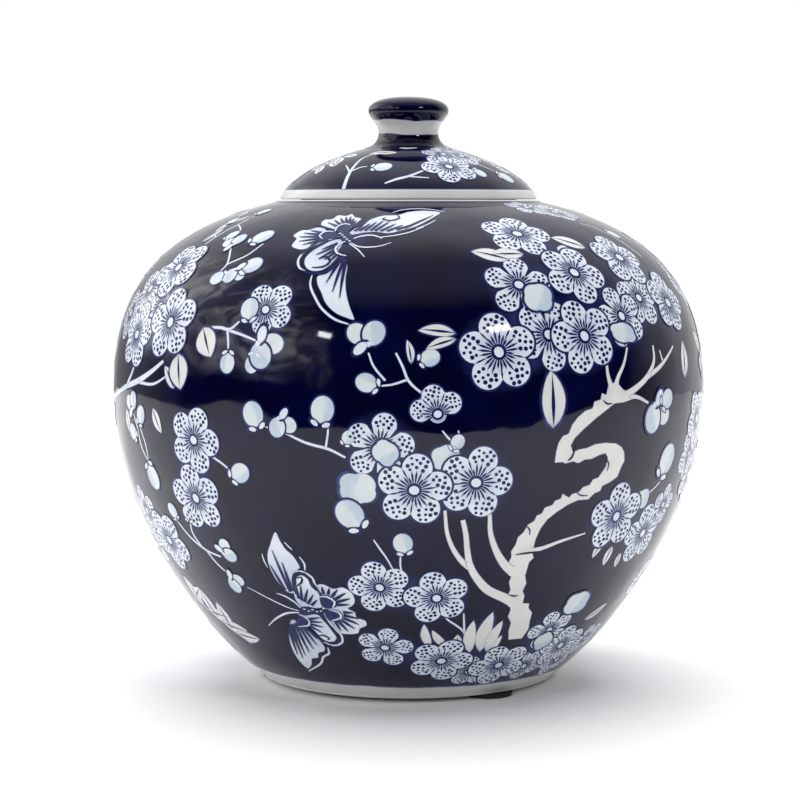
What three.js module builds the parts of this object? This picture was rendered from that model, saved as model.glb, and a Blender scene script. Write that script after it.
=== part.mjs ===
// A round blue-and-white porcelain ginger jar: a hollow body, a domed lift-off lid with a knob
// stuck on while the clay was soft, and three stick-on pads under the foot ring.
// Millimetres, +Z up. The origin is on the surface the jar stands on, under the jar's middle.
import * as THREE from 'three';

// Body
const bodyRadius = 120; // at the belly, the widest place
const bodyHeight = 193; // from under the foot ring to the flat of the mouth
const bellyHeight = 116; // of the widest place, above the underside of the foot ring
const bodyWall = 5;
const floorThickness = 7;
const shoulderSlope = 13; // degrees below level, where the shoulder leaves the mouth
const shoulderReach = 50; // how far the shoulder keeps to that slope
const upperBellyReach = 40; // how far the side stays upright above the belly
const lowerBellyReach = 50.7; // and below it
const undersideSlope = 40.5; // degrees above level, where the underside leaves the foot
const undersideReach = 28;
const mouthRadius = 45;
const mouthLedge = 8.3; // width of the flat ring that the lid rests on
const mouthRounding = 0.8; // of the ledge's outer edge

// Foot ring
const footRadius = 61;
const footWidth = 9.5;
const footHeight = 3;
const footFlare = 3; // how far the underside starts outside the foot ring
const footRounding = 1;
const footRecess = 4; // depth of the hollow inside the ring

// Lid
const lidWall = 4.5;
const lidOverhangGap = 0.8; // the lid's rim stops this far short of the ledge's edge
const rimHeight = 3.5;
const rimLean = 1.8; // the rim's foot stands this far outside its top
const domeRise = 17.3; // from the top of the rim to the seat of the knob
const domeRimSlope = 47; // degrees below level, where the dome meets the rim
const domeRimReach = 13;
const domeSeatSlope = 15; // degrees below level, where the dome meets the knob
const domeSeatReach = 12;
const flangeDepth = 9; // of the ring under the lid that keeps it centred in the mouth
const flangeWall = 4;
const flangeClearance = 1.5; // between that ring and the mouth, all round
const ventRadius = 3;

// Knob
const knobBaseRadius = 17;
const knobBrow = 0.4; // height of the upright edge round its base
const knobNeckRadius = 12.1;
const knobNeckHeight = 6.5; // of the narrowest place, above the seat
const knobRadius = 16.3;
const knobWidestHeight = 15; // of the widest place, above the seat
const knobHeight = 20.7;
const knobHollowRadius = 7;
const knobCrown = 6; // clay left above the hollow

// Pads
const padRadius = 9.5;
const padThickness = 1.5;
const padRounding = 0.4;
const padPlaces = [
  { name: 'foot_pad_1', around: -54, outOfFoot: 2.3 }, // peeps out from under the foot
  { name: 'foot_pad_2', around: 66, outOfFoot: -1 },
  { name: 'foot_pad_3', around: 186, outOfFoot: -1 },
];

// Fits
const seatGap = 0.3; // between pieces that rest or are stuck on each other
const turns = 56; // flats round the body and the lid
const knobTurns = 32;
const padTurns = 24;

// Heights above the surface the jar stands on
const footBottom = padThickness + seatGap;
const bellyLevel = footBottom + bellyHeight;
const mouthLevel = footBottom + bodyHeight;
const floorLevel = footBottom + footRecess + floorThickness;
const lidBottom = mouthLevel + seatGap;
const rimTop = lidBottom + rimHeight;
const knobSeat = rimTop + domeRise;
const rimRadius = mouthRadius + mouthLedge - lidOverhangGap;

const point = (radius, level) => new THREE.Vector2(radius, level);

// A direction in the outline's plane, in degrees above level, outwards for a positive length.
function towards(degrees, length) {
  const angle = THREE.MathUtils.degToRad(degrees);
  return point(Math.cos(angle) * length, Math.sin(angle) * length);
}

// Points along a smooth curve that leaves `from` by one handle and reaches `to` by another.
function sweep(from, fromHandle, to, toHandle, steps) {
  const curve = new THREE.CubicBezierCurve(
    from,
    from.clone().add(fromHandle),
    to.clone().add(toHandle),
    to,
  );
  return curve.getPoints(steps);
}

// Points round the corner where two straight edges would meet.
function roundCorner(from, corner, to, steps = 3) {
  return new THREE.QuadraticBezierCurve(from, corner, to).getPoints(steps);
}

// The inner face of a wall: its outline moved to the left of the way it runs.
function insideOf(outline, thickness) {
  return outline.map((place, i) => {
    const before = outline[Math.max(i - 1, 0)];
    const after = outline[Math.min(i + 1, outline.length - 1)];
    const along = after.clone().sub(before).normalize();
    return point(place.x - along.y * thickness, place.y + along.x * thickness);
  });
}

// A closed solid turned about +Z. The outline runs with the clay on its left.
function turned(name, outline, material, flats) {
  const geometry = new THREE.LatheGeometry(outline, flats);
  geometry.rotateX(Math.PI / 2);
  const mesh = new THREE.Mesh(geometry, material);
  mesh.name = name;
  return mesh;
}

// The outside of the body, from the foot ring up to the mouth.
function bodyOutside() {
  const heel = point(footRadius + footFlare, footBottom + footHeight);
  const belly = point(bodyRadius, bellyLevel);
  const shoulderTop = point(mouthRadius + mouthLedge + mouthRounding, mouthLevel - mouthRounding);
  const underside = sweep(
    heel,
    towards(undersideSlope, undersideReach),
    belly,
    point(0, -lowerBellyReach),
    10,
  );
  const shoulder = sweep(
    belly,
    point(0, upperBellyReach),
    shoulderTop,
    towards(-shoulderSlope, shoulderReach),
    9,
  );
  return [...underside, ...shoulder.slice(1)];
}

function jarBody(material) {
  const outside = bodyOutside();
  const inside = insideOf(outside, bodyWall)
    .filter((place) => place.y > floorLevel + bodyWall && place.x > mouthRadius + bodyWall)
    .reverse();
  const footInner = footRadius - footWidth;
  const recessTop = footBottom + footRecess;
  const lip = inside[0].y;
  const outline = [
    point(0, recessTop),
    point(footInner - footRounding, recessTop),
    point(footInner, footBottom + footRounding),
    point(footInner + footRounding, footBottom),
    point(footRadius - footRounding, footBottom),
    point(footRadius, footBottom + footRounding),
    ...outside,
    point(mouthRadius + mouthLedge, mouthLevel),
    point(mouthRadius + mouthRounding, mouthLevel),
    point(mouthRadius, mouthLevel - mouthRounding),
    ...roundCorner(
      point(mouthRadius, lip + mouthRounding),
      point(mouthRadius, lip),
      point(mouthRadius + bodyWall, lip),
    ),
    ...inside.slice(1),
    point(inside.at(-1).x - bodyWall, floorLevel),
    point(0, floorLevel),
  ];
  return turned('jar_body', outline, material, turns);
}

// The outside of the dome, from the edge of the knob's seat down to the top of the rim.
function domeOutside() {
  return sweep(
    point(knobBaseRadius, knobSeat),
    towards(-domeSeatSlope, domeSeatReach),
    point(rimRadius - rimLean, rimTop),
    towards(180 - domeRimSlope, domeRimReach),
    8,
  );
}

function lid(material) {
  const flangeOuter = mouthRadius - flangeClearance;
  const flangeInner = flangeOuter - flangeWall;
  const flangeBottom = lidBottom - flangeDepth;
  const inside = insideOf(domeOutside(), -lidWall).filter((place) => place.x < flangeInner - 1);
  const outline = [
    point(ventRadius, knobSeat),
    ...domeOutside(),
    point(rimRadius, lidBottom + mouthRounding),
    point(rimRadius - mouthRounding, lidBottom),
    point(flangeOuter, lidBottom),
    point(flangeOuter, flangeBottom + mouthRounding),
    point(flangeOuter - mouthRounding, flangeBottom),
    point(flangeInner + mouthRounding, flangeBottom),
    point(flangeInner, flangeBottom + mouthRounding),
    point(flangeInner, rimTop),
    ...inside.reverse(),
    point(ventRadius, knobSeat - lidWall),
    point(ventRadius, knobSeat),
  ];
  return turned('lid', outline.reverse(), material, turns);
}

function lidKnob(material) {
  const base = knobSeat + seatGap;
  const brow = point(knobBaseRadius, base + knobBrow);
  const neck = point(knobNeckRadius, knobSeat + knobNeckHeight);
  const widest = point(knobRadius, knobSeat + knobWidestHeight);
  const top = point(0, knobSeat + knobHeight);
  const outline = [
    point(0, top.y - knobCrown),
    point(knobHollowRadius - 1, top.y - knobCrown),
    point(knobHollowRadius, top.y - knobCrown - 1),
    point(knobHollowRadius, base),
    point(knobBaseRadius, base),
    ...sweep(brow, point(-3.5, 0.9), neck, point(0, -3.4), 5),
    ...sweep(neck, point(0, 3.2), widest, point(0, -2.6), 5).slice(1),
    ...sweep(widest, point(0, 4), top, point(9.5, 0), 6).slice(1),
  ];
  return turned('lid_knob', outline, material, knobTurns);
}

function footPad({ name, around, outOfFoot }, material) {
  const outline = [
    point(0, 0),
    point(padRadius - padRounding, 0),
    point(padRadius, padRounding),
    point(padRadius, padThickness - padRounding),
    point(padRadius - padRounding, padThickness),
    point(0, padThickness),
  ];
  const pad = turned(name, outline, material, padTurns);
  const out = footRadius + outOfFoot - padRadius;
  const angle = THREE.MathUtils.degToRad(around);
  pad.position.set(Math.cos(angle) * out, Math.sin(angle) * out, 0);
  return pad;
}

const cobalt = new THREE.MeshStandardMaterial({ color: 0x191a3a, roughness: 0.08, metalness: 0 });
const lidCobalt = new THREE.MeshStandardMaterial({ color: 0x1d1e42, roughness: 0.08, metalness: 0 });
const knobCobalt = new THREE.MeshStandardMaterial({ color: 0x14173c, roughness: 0.08, metalness: 0 });
const blackFelt = new THREE.MeshStandardMaterial({ color: 0x18181b, roughness: 0.95, metalness: 0 });

const gingerJar = new THREE.Group();
gingerJar.add(jarBody(cobalt));
gingerJar.add(lid(lidCobalt));
gingerJar.add(lidKnob(knobCobalt));
for (const place of padPlaces) {
  gingerJar.add(footPad(place, blackFelt));
}

export default gingerJar;
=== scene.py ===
import math
import random

import bmesh
import bpy
import mathutils
import numpy as np
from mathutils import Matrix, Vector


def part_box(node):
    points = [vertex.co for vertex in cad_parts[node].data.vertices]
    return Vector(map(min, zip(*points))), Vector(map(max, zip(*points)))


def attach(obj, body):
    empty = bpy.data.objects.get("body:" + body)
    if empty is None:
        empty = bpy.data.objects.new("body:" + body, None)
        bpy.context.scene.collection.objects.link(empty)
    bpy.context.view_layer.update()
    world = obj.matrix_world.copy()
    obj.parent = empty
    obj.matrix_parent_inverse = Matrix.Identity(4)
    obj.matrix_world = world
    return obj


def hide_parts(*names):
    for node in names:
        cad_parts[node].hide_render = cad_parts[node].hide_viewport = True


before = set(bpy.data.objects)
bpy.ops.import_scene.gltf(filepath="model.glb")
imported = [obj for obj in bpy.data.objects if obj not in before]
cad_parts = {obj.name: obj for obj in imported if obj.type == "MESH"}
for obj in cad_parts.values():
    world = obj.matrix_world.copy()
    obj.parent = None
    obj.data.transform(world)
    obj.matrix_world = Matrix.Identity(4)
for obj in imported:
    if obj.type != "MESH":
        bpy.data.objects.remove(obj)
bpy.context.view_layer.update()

# ---------------------------------------------------------------------------------------------
# Camera. A long lens a little above the jar's mouth, looking slightly down at it from the front.
# ---------------------------------------------------------------------------------------------
mm = 0.001
camera_distance = 930 * mm
camera_height = 191.8 * mm
camera_tilt = 4.84  # degrees down
camera_data = bpy.data.cameras.new("camera")
camera_data.lens = 102.3
camera_data.sensor_width = 36
camera_data.shift_x = -0.0106
camera = bpy.data.objects.new("camera", camera_data)
camera.location = (0, -camera_distance, camera_height)
camera.rotation_euler = (math.radians(90 - camera_tilt), 0, 0)
bpy.context.collection.objects.link(camera)
bpy.context.scene.camera = camera

# ---------------------------------------------------------------------------------------------
# Jar body. Cast porcelain, thrown round: a foot ring turned in the same clay, a full round belly
# and a wide mouth with a flat ledge for the lid. Dipped in cobalt down to just above the foot,
# white inside, under one clear gloss glaze.
# ---------------------------------------------------------------------------------------------
foot_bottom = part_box("jar_body")[0].z
mouth_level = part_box("jar_body")[1].z
belly_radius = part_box("jar_body")[1].x
belly_level = foot_bottom + 116 * mm
body_wall = 5 * mm
floor_level = foot_bottom + 11 * mm
foot_radius = 61 * mm
foot_inner_radius = 51.5 * mm
foot_recess = 4 * mm
heel_radius = 64 * mm
heel_level = foot_bottom + 3 * mm
mouth_radius = 45 * mm
ledge_radius = 53.3 * mm
edge_round = 0.8 * mm
dip_line = foot_bottom + 5.6 * mm


def point(radius, level):
    return np.array([radius, level], float)


def towards(degrees, length):
    """A step of this length at this angle above level, outwards."""
    return length * point(math.cos(math.radians(degrees)), math.sin(math.radians(degrees)))


def sweep(start, start_handle, end, end_handle, steps):
    """Points along a smooth curve that leaves start and reaches end by these handles."""
    t = np.linspace(0, 1, steps + 1)[:, None]
    near, far = start + start_handle, end + end_handle
    return (1 - t) ** 3 * start + 3 * (1 - t) ** 2 * t * near + 3 * (1 - t) * t**2 * far + t**3 * end


def corner(middle, size, before, after, steps=4):
    """Points round a rounded corner, from the side of before to the side of after."""
    start = middle + (before - middle) / np.linalg.norm(before - middle) * size
    end = middle + (after - middle) / np.linalg.norm(after - middle) * size
    return sweep(start, (middle - start) * 0.6, end, (middle - end) * 0.6, steps)


def inside_of(outline, thickness):
    """The inner face of a wall: its outline moved to the left of the way it runs."""
    along = np.gradient(outline, axis=0)
    along /= np.linalg.norm(along, axis=1)[:, None]
    return outline + thickness * np.column_stack([-along[:, 1], along[:, 0]])


def turned(name, outline, steps):
    """A closed body turned on the wheel from its outline, in metres, smooth but for its edges."""
    mesh = bpy.data.meshes.new(name)
    places = [(r, 0, z) for r, z in outline]
    mesh.from_pydata(places, [(i, i + 1) for i in range(len(places) - 1)], [])
    piece = bpy.data.objects.new(name, mesh)
    bpy.context.collection.objects.link(piece)
    bpy.ops.object.select_all(action="DESELECT")
    piece.select_set(True)
    bpy.context.view_layer.objects.active = piece
    bpy.ops.object.mode_set(mode="EDIT")
    bpy.ops.mesh.select_all(action="SELECT")
    bpy.ops.mesh.spin(steps=steps, angle=2 * math.pi, center=(0, 0, 0), axis=(0, 0, 1))
    bpy.ops.mesh.select_all(action="SELECT")
    bpy.ops.mesh.remove_doubles(threshold=1e-6)
    bpy.ops.mesh.normals_make_consistent(inside=False)
    bpy.ops.object.mode_set(mode="OBJECT")
    bpy.ops.object.shade_smooth_by_angle(angle=math.radians(40))
    return piece


class Skin:
    """The painted outside of a turned piece: its outline from low to high, how far up the glaze
    each point of it lies, and which way the glaze faces there."""

    def __init__(self, outline):
        self.outline = outline
        steps = np.linalg.norm(np.diff(outline, axis=0), axis=1)
        self.rise = np.concatenate([[0], np.cumsum(steps)])
        along = np.gradient(outline, axis=0)
        self.along = along / np.linalg.norm(along, axis=1)[:, None]

    def at(self, azimuths, rises):
        """Places on the glaze and the way it faces there. Azimuth 0 is the front, in radians."""
        r, z = (np.interp(rises, self.rise, self.outline[:, k]) for k in (0, 1))
        tr, tz = (np.interp(rises, self.rise, self.along[:, k]) for k in (0, 1))
        length = np.hypot(tr, tz)
        east = np.column_stack([np.sin(azimuths), -np.cos(azimuths)])
        place = np.column_stack([east * r[:, None], z])
        facing = np.column_stack([east * (tz / length)[:, None], -tr / length])
        return place, facing

    def settle(self, places):
        """The spots on the glaze nearest to these places, as azimuths and rises."""
        flat = np.column_stack([np.hypot(places[:, 0], places[:, 1]), places[:, 2]])
        near = np.empty(len(flat), int)
        for first in range(0, len(flat), 4000):
            part = flat[first : first + 4000, None] - self.outline[None]
            near[first : first + 4000] = (part**2).sum(2).argmin(1)
        beyond = ((flat - self.outline[near]) * self.along[near]).sum(1)
        rises = np.clip(self.rise[near] + beyond, 0, self.rise[-1])
        return np.arctan2(places[:, 0], -places[:, 1]), rises


heel = point(heel_radius, heel_level)
belly = point(belly_radius, belly_level)
shoulder_top = point(ledge_radius + edge_round, mouth_level - edge_round)
underside = sweep(heel, towards(40.5, 28 * mm), belly, point(0, -50.7 * mm), 300)
shoulder = sweep(belly, point(0, 40 * mm), shoulder_top, towards(-13, 50 * mm), 300)
body_skin = Skin(np.vstack([underside, shoulder[1:]]))

outside = np.vstack([underside[::5], shoulder[5::5]])
inside = inside_of(outside, body_wall)
inside = inside[(inside[:, 1] > floor_level + 8 * mm) & (inside[:, 0] > mouth_radius + 6 * mm)]
inside = inside[::-2]
lip_level = inside[0, 1]
foot_corner = [point(foot_inner_radius, foot_bottom), point(foot_radius, foot_bottom)]
recess_corner = point(foot_inner_radius, foot_bottom + foot_recess)
floor_corner = point(inside[-1, 0] - 5 * mm, floor_level)
body_outline = np.vstack([
    point(0, foot_bottom + foot_recess),
    corner(recess_corner, 1 * mm, point(0, recess_corner[1]), foot_corner[0]),
    corner(foot_corner[0], 1.2 * mm, recess_corner, foot_corner[1]),
    corner(foot_corner[1], 0.9 * mm, foot_corner[0], point(foot_radius, heel_level)),
    outside,
    corner(point(ledge_radius, mouth_level), edge_round * 0.5, shoulder_top, point(0, mouth_level)),
    corner(point(mouth_radius, mouth_level), edge_round, point(ledge_radius, mouth_level),
           point(mouth_radius, lip_level)),
    corner(point(mouth_radius, lip_level), edge_round, point(mouth_radius, mouth_level),
           point(ledge_radius, lip_level)),
    inside,
    corner(floor_corner, 5 * mm, inside[-1], point(0, floor_level)),
    point(0, floor_level),
])
jar = turned("jar", body_outline, 240)


def attribute(mesh, name, values):
    """A number at each vertex, for the materials to read."""
    layer = mesh.attributes.get(name) or mesh.attributes.new(name, "FLOAT", "POINT")
    layer.data.foreach_set("value", np.asarray(values, np.float32))


def vertices_of(piece):
    places = np.empty(len(piece.data.vertices) * 3)
    piece.data.vertices.foreach_get("co", places)
    return places.reshape(-1, 3)


def off_skin(piece, skin):
    """How far each vertex lies from a skin."""
    places = vertices_of(piece)
    return np.linalg.norm(skin.at(*skin.settle(places))[0] - places, axis=1)


attribute(jar.data, "outside", off_skin(jar, body_skin) < 0.05 * mm)


class Nodes:
    """A material's node tree, built a node at a time."""

    def __init__(self, name):
        self.material = bpy.data.materials.new(name)
        self.material.use_nodes = True
        self.tree = self.material.node_tree
        self.shader = self.tree.nodes["Principled BSDF"]

    def add(self, kind, inputs=None, **settings):
        node = self.tree.nodes.new("ShaderNode" + kind)
        for key, value in settings.items():
            setattr(node, key, value)
        for key, value in (inputs or {}).items():
            self.feed(node.inputs[key], value)
        return node

    def feed(self, socket, value):
        if isinstance(value, bpy.types.NodeSocket):
            self.tree.links.new(value, socket)
        else:
            socket.default_value = value

    def mix(self, share, low, high):
        node = self.add("Mix", data_type="RGBA")
        for socket, value in zip((node.inputs[0], node.inputs[6], node.inputs[7]), (share, low, high)):
            self.feed(socket, value)
        return node.outputs[2]

    def noise(self, scale, detail=2.0):
        """Cloudy variation over the piece, of this many clouds a metre."""
        where = self.add("TexCoord").outputs["Object"]
        return self.add("TexNoise", {"Vector": where, "Scale": scale, "Detail": detail}).outputs[0]

    def spread(self, value, low, high, to_low=0.0, to_high=1.0):
        """The value carried from one range to another, and held to it."""
        inputs = {0: value, 1: low, 2: high, 3: to_low, 4: to_high}
        return self.add("MapRange", inputs).outputs[0]

    def maths(self, operation, first, second):
        return self.add("Math", {0: first, 1: second}, operation=operation).outputs[0]

    def number(self, name):
        return self.add("Attribute", attribute_name=name).outputs["Fac"]

    def level(self):
        """Height above the floor."""
        where = self.add("TexCoord").outputs["Object"]
        return self.add("SeparateXYZ", {0: where}).outputs["Z"]

    def gloss(self, wave=0.95 * mm):
        """One clear glaze over everything: wet gloss, slightly uneven, with slow waves in it."""
        self.shader.inputs["IOR"].default_value = glaze_index
        self.feed(self.shader.inputs["Roughness"], self.spread(self.noise(90), 0.3, 0.7, 0.03, 0.075))
        slow = self.add("Bump", {"Height": self.noise(32, 1.5), "Strength": 1.0, "Distance": wave})
        self.feed(self.shader.inputs["Normal"], slow.outputs[0])


night = (0.0006, 0.0007, 0.0130, 1)
cobalt = (0.0010, 0.0018, 0.0290, 1)
halo_blue = (0.0220, 0.0290, 0.1150, 1)
edge_blue = (0.0420, 0.0600, 0.2400, 1)
china_white = (0.70, 0.71, 0.69, 1)
china_shade = (0.64, 0.66, 0.65, 1)
glaze_index = 1.41  # low for a glaze, so that it mirrors a white floor more darkly


def bare_china(nodes):
    """White porcelain, very slightly cloudy."""
    return nodes.mix(nodes.spread(nodes.noise(70, 4.0), 0.35, 0.65), china_white, china_shade)


def dipped_colour(nodes):
    """Cobalt as it lies after dipping: cloudy, and paler where the painting's brush has wetted it."""
    ground = nodes.mix(nodes.spread(nodes.noise(60, 4.0), 0.35, 0.7), night, cobalt)
    wetted = nodes.maths("MULTIPLY", nodes.number("halo"),
                         nodes.spread(nodes.noise(140, 3.0), 0.3, 0.6, 0.5, 1))
    return nodes.mix(wetted, ground, halo_blue)


def body_glaze():
    nodes = Nodes("cobalt_dipped_porcelain")
    level = nodes.level()
    waver = nodes.spread(nodes.noise(45, 3.0), 0.3, 0.7, -0.5 * mm, 0.5 * mm)
    above = nodes.maths("SUBTRACT", nodes.maths("ADD", level, waver), dip_line)
    covered = nodes.maths("MULTIPLY", nodes.spread(above, 0.0, 0.5 * mm), nodes.number("outside"))
    thick = nodes.maths("MULTIPLY", nodes.spread(above, 0.3 * mm, 1.3 * mm), nodes.number("outside"))
    white = bare_china(nodes)
    edged = nodes.mix(covered, white, edge_blue)
    nodes.feed(nodes.shader.inputs["Base Color"], nodes.mix(thick, edged, dipped_colour(nodes)))
    nodes.gloss()
    return nodes.material


jar.data.materials.append(body_glaze())
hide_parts("jar_body")
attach(jar, "jar")

# ---------------------------------------------------------------------------------------------
# Lid. A shallow dome with a white rolled rim that stands on the mouth's ledge, and a ring below
# that keeps it centred. The same dipped cobalt on top, white underneath, a small vent at the top.
# ---------------------------------------------------------------------------------------------
lid_bottom = mouth_level + 0.3 * mm
lid_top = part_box("lid")[1].z
rim_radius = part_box("lid")[1].x
rim_top = lid_bottom + 3.5 * mm
rim_lean = 1.8 * mm
lid_wall = 4.5 * mm
flange_outer = mouth_radius - 1.5 * mm
flange_inner = flange_outer - 4 * mm
flange_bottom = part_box("lid")[0].z
seat_radius = 17 * mm
vent_radius = 3 * mm

seat_edge = point(seat_radius, lid_top)
rim_edge = point(rim_radius - rim_lean, rim_top)
dome = sweep(rim_edge, towards(180 - 47, 13 * mm), seat_edge, towards(-15, 12 * mm), 240)
lid_skin = Skin(dome)
dome_inside = inside_of(dome, lid_wall)
dome_inside = dome_inside[dome_inside[:, 0] < flange_inner - 2 * mm][::-8]
rim_foot = point(rim_radius, lid_bottom)
lid_outline = np.vstack([
    point(vent_radius, lid_top - lid_wall),
    dome_inside,
    corner(point(flange_inner, dome_inside[-1, 1] - 3 * mm), 1.6 * mm, dome_inside[-1],
           point(flange_inner, flange_bottom)),
    corner(point(flange_inner, flange_bottom), 1 * mm, point(flange_inner, lid_bottom),
           point(flange_outer, flange_bottom)),
    corner(point(flange_outer, flange_bottom), 1 * mm, point(flange_inner, flange_bottom),
           point(flange_outer, lid_bottom)),
    corner(point(flange_outer, lid_bottom), 0.6 * mm, point(flange_outer, flange_bottom), rim_foot),
    corner(rim_foot, 0.9 * mm, point(flange_outer, lid_bottom), rim_edge),
    corner(rim_edge, 0.5 * mm, rim_foot, dome[12]),
    dome[6::6],
    point(vent_radius, lid_top),
    point(vent_radius, lid_top - lid_wall),
])
lid = turned("lid_dome", lid_outline, 180)


def rim_share(piece):
    """1 on the dome's outside, falling to 0 at the top of the white rim."""
    places = vertices_of(piece)
    above = np.clip((places[:, 2] - rim_top) / (0.5 * mm), 0, 1)
    return above * (off_skin(piece, lid_skin) < 0.4 * mm)


attribute(lid.data, "outside", rim_share(lid))


def lid_glaze():
    nodes = Nodes("cobalt_dipped_lid")
    covered = nodes.number("outside")
    white = bare_china(nodes)
    edged = nodes.mix(nodes.spread(covered, 0.1, 0.5), white, edge_blue)
    nodes.feed(nodes.shader.inputs["Base Color"],
               nodes.mix(nodes.spread(covered, 0.5, 1.0), edged, dipped_colour(nodes)))
    nodes.gloss()
    return nodes.material


lid.data.materials.append(lid_glaze())
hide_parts("lid")
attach(lid, "lid")

# ---------------------------------------------------------------------------------------------
# Knob. Turned by itself, hollow, and stuck on the dome with slip: a cobalt button over a band
# left white round the neck, with cobalt again where the slip joins it to the lid.
# ---------------------------------------------------------------------------------------------
knob_base = lid_top + 0.02 * mm
knob_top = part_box("lid_knob")[1].z
neck_radius = 12.1 * mm
knob_radius = 16.3 * mm
hollow_radius = 7 * mm
knob_crown = 6 * mm
neck = point(neck_radius, lid_top + 6.5 * mm)
widest = point(knob_radius, lid_top + 15 * mm)
slip_edge = point(seat_radius + 0.9 * mm, lid_top - 0.15 * mm)
hollow_top = point(hollow_radius, knob_top - knob_crown)
knob_outline = np.vstack([
    point(0, knob_top - knob_crown),
    corner(hollow_top, 1.5 * mm, point(0, hollow_top[1]), point(hollow_radius, knob_base)),
    point(hollow_radius, knob_base),
    point(seat_radius - 1 * mm, knob_base),
    sweep(slip_edge, point(-3.6, 0.95) * mm, neck, point(0, -3.6 * mm), 16),
    sweep(neck, point(0, 3.2 * mm), widest, point(0, -2.6 * mm), 16)[1:],
    sweep(widest, point(0, 4 * mm), point(0, knob_top), point(9.5 * mm, 0), 22)[1:],
])
knob = turned("knob", knob_outline, 96)


def knob_glaze():
    nodes = Nodes("cobalt_tipped_knob")
    level = nodes.level()
    waver = nodes.spread(nodes.noise(55, 2.0), 0.3, 0.7, -0.7 * mm, 0.7 * mm)
    height = nodes.maths("ADD", level, waver)
    cap_edge = lid_top + 10.9 * mm
    slip_top = lid_top + 5.4 * mm
    cap = nodes.spread(height, cap_edge - 0.3 * mm, cap_edge + 0.3 * mm)
    slip = nodes.spread(height, slip_top + 0.3 * mm, slip_top - 0.3 * mm)
    blue = nodes.maths("MAXIMUM", cap, slip)
    white = bare_china(nodes)
    edged = nodes.mix(nodes.spread(blue, 0.1, 0.6), white, edge_blue)
    nodes.feed(nodes.shader.inputs["Base Color"],
               nodes.mix(nodes.spread(blue, 0.5, 1.0), edged, dipped_colour(nodes)))
    nodes.gloss()
    return nodes.material


knob.data.materials.append(knob_glaze())
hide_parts("lid_knob")
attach(knob, "lid")

# ---------------------------------------------------------------------------------------------
# Foot pads. Black foam rubber discs with a sticky back, pressed on under the foot ring. One has
# been put on a little too far out and shows at the front right.
# ---------------------------------------------------------------------------------------------
pad_edge = 0.5 * mm
rubber_black = (0.010, 0.010, 0.010, 1)
rubber_grey = (0.026, 0.025, 0.024, 1)


def pad_rubber():
    nodes = Nodes("black_foam_rubber")
    grain = nodes.noise(2600, 3.0)
    nodes.feed(nodes.shader.inputs["Base Color"],
               nodes.mix(nodes.spread(grain, 0.35, 0.65), rubber_black, rubber_grey))
    nodes.feed(nodes.shader.inputs["Roughness"], nodes.spread(grain, 0.3, 0.7, 0.75, 0.95))
    bump = nodes.add("Bump", {"Height": grain, "Strength": 0.6, "Distance": 0.08 * mm})
    nodes.feed(nodes.shader.inputs["Normal"], bump.outputs[0])
    return nodes.material


pad_finish = pad_rubber()
for node in ("foot_pad_1", "foot_pad_2", "foot_pad_3"):
    low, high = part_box(node)
    middle = (low + high) / 2
    bpy.ops.object.select_all(action="DESELECT")
    bpy.ops.mesh.primitive_cylinder_add(vertices=48, radius=(high.x - low.x) / 2,
                                        depth=high.z - low.z, location=middle)
    pad = bpy.context.object
    pad.name = pad.data.name = node.replace("foot_pad", "foam_pad")
    bpy.ops.object.transform_apply(location=True)
    bevel = pad.modifiers.new("edge", "BEVEL")
    bevel.width = pad_edge
    bevel.segments = 3
    bpy.ops.object.modifier_apply(modifier="edge")
    bpy.ops.object.shade_smooth_by_angle(angle=math.radians(50))
    pad.data.materials.append(pad_finish)
    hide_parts(node)
    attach(pad, "jar")

# ---------------------------------------------------------------------------------------------
# Painting. Plum blossom, twigs, leaves, buds and butterflies left white in the cobalt and drawn
# in fine blue lines under the glaze. Each motif is drawn flat once, and its copies are laid on
# the curved glaze, in thin coats one over another.
# ---------------------------------------------------------------------------------------------
coat = 0.02 * mm  # from one coat of a motif to the next
overlap = 0.10 * mm  # from one motif to the next that lies over it
WHITE, BARE, PALE, LINE = range(4)  # petals and wings, wood and leaves, buds, and drawn lines
bleed_width = 0.4  # mm
wash_blue = (0.075, 0.105, 0.36, 1)


def paint(name, colour, shade, washed, rim):
    """Paint under the glaze: cloudy between a colour and a shade, washed where a motif says so,
    and bled softly into the cobalt round its rim."""
    nodes = Nodes(name)
    flat = nodes.mix(nodes.spread(nodes.noise(110, 4.0), 0.35, 0.7), colour, shade)
    patchy = nodes.spread(nodes.noise(400), 0.3, 0.7, 0.8, 1)
    blue = nodes.mix(nodes.maths("MULTIPLY", nodes.number("wash"), patchy), flat, washed)
    bled = nodes.mix(nodes.spread(nodes.number("bleed"), 0.1, 1.0), blue, rim)
    nodes.feed(nodes.shader.inputs["Base Color"], bled)
    nodes.gloss()
    return nodes.material


paints = [
    paint("reserved_white", (0.73, 0.78, 0.85, 1), (0.65, 0.71, 0.83, 1), wash_blue, edge_blue),
    paint("bare_white", (0.73, 0.75, 0.72, 1), (0.68, 0.70, 0.69, 1), wash_blue, edge_blue),
    paint("pale_blue_wash", (0.64, 0.70, 0.74, 1), (0.71, 0.76, 0.76, 1), (0.42, 0.53, 0.66, 1), edge_blue),
    paint("cobalt_line", (0.007, 0.012, 0.075, 1), (0.014, 0.021, 0.110, 1), (0.03, 0.05, 0.20, 1), cobalt),
]


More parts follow.
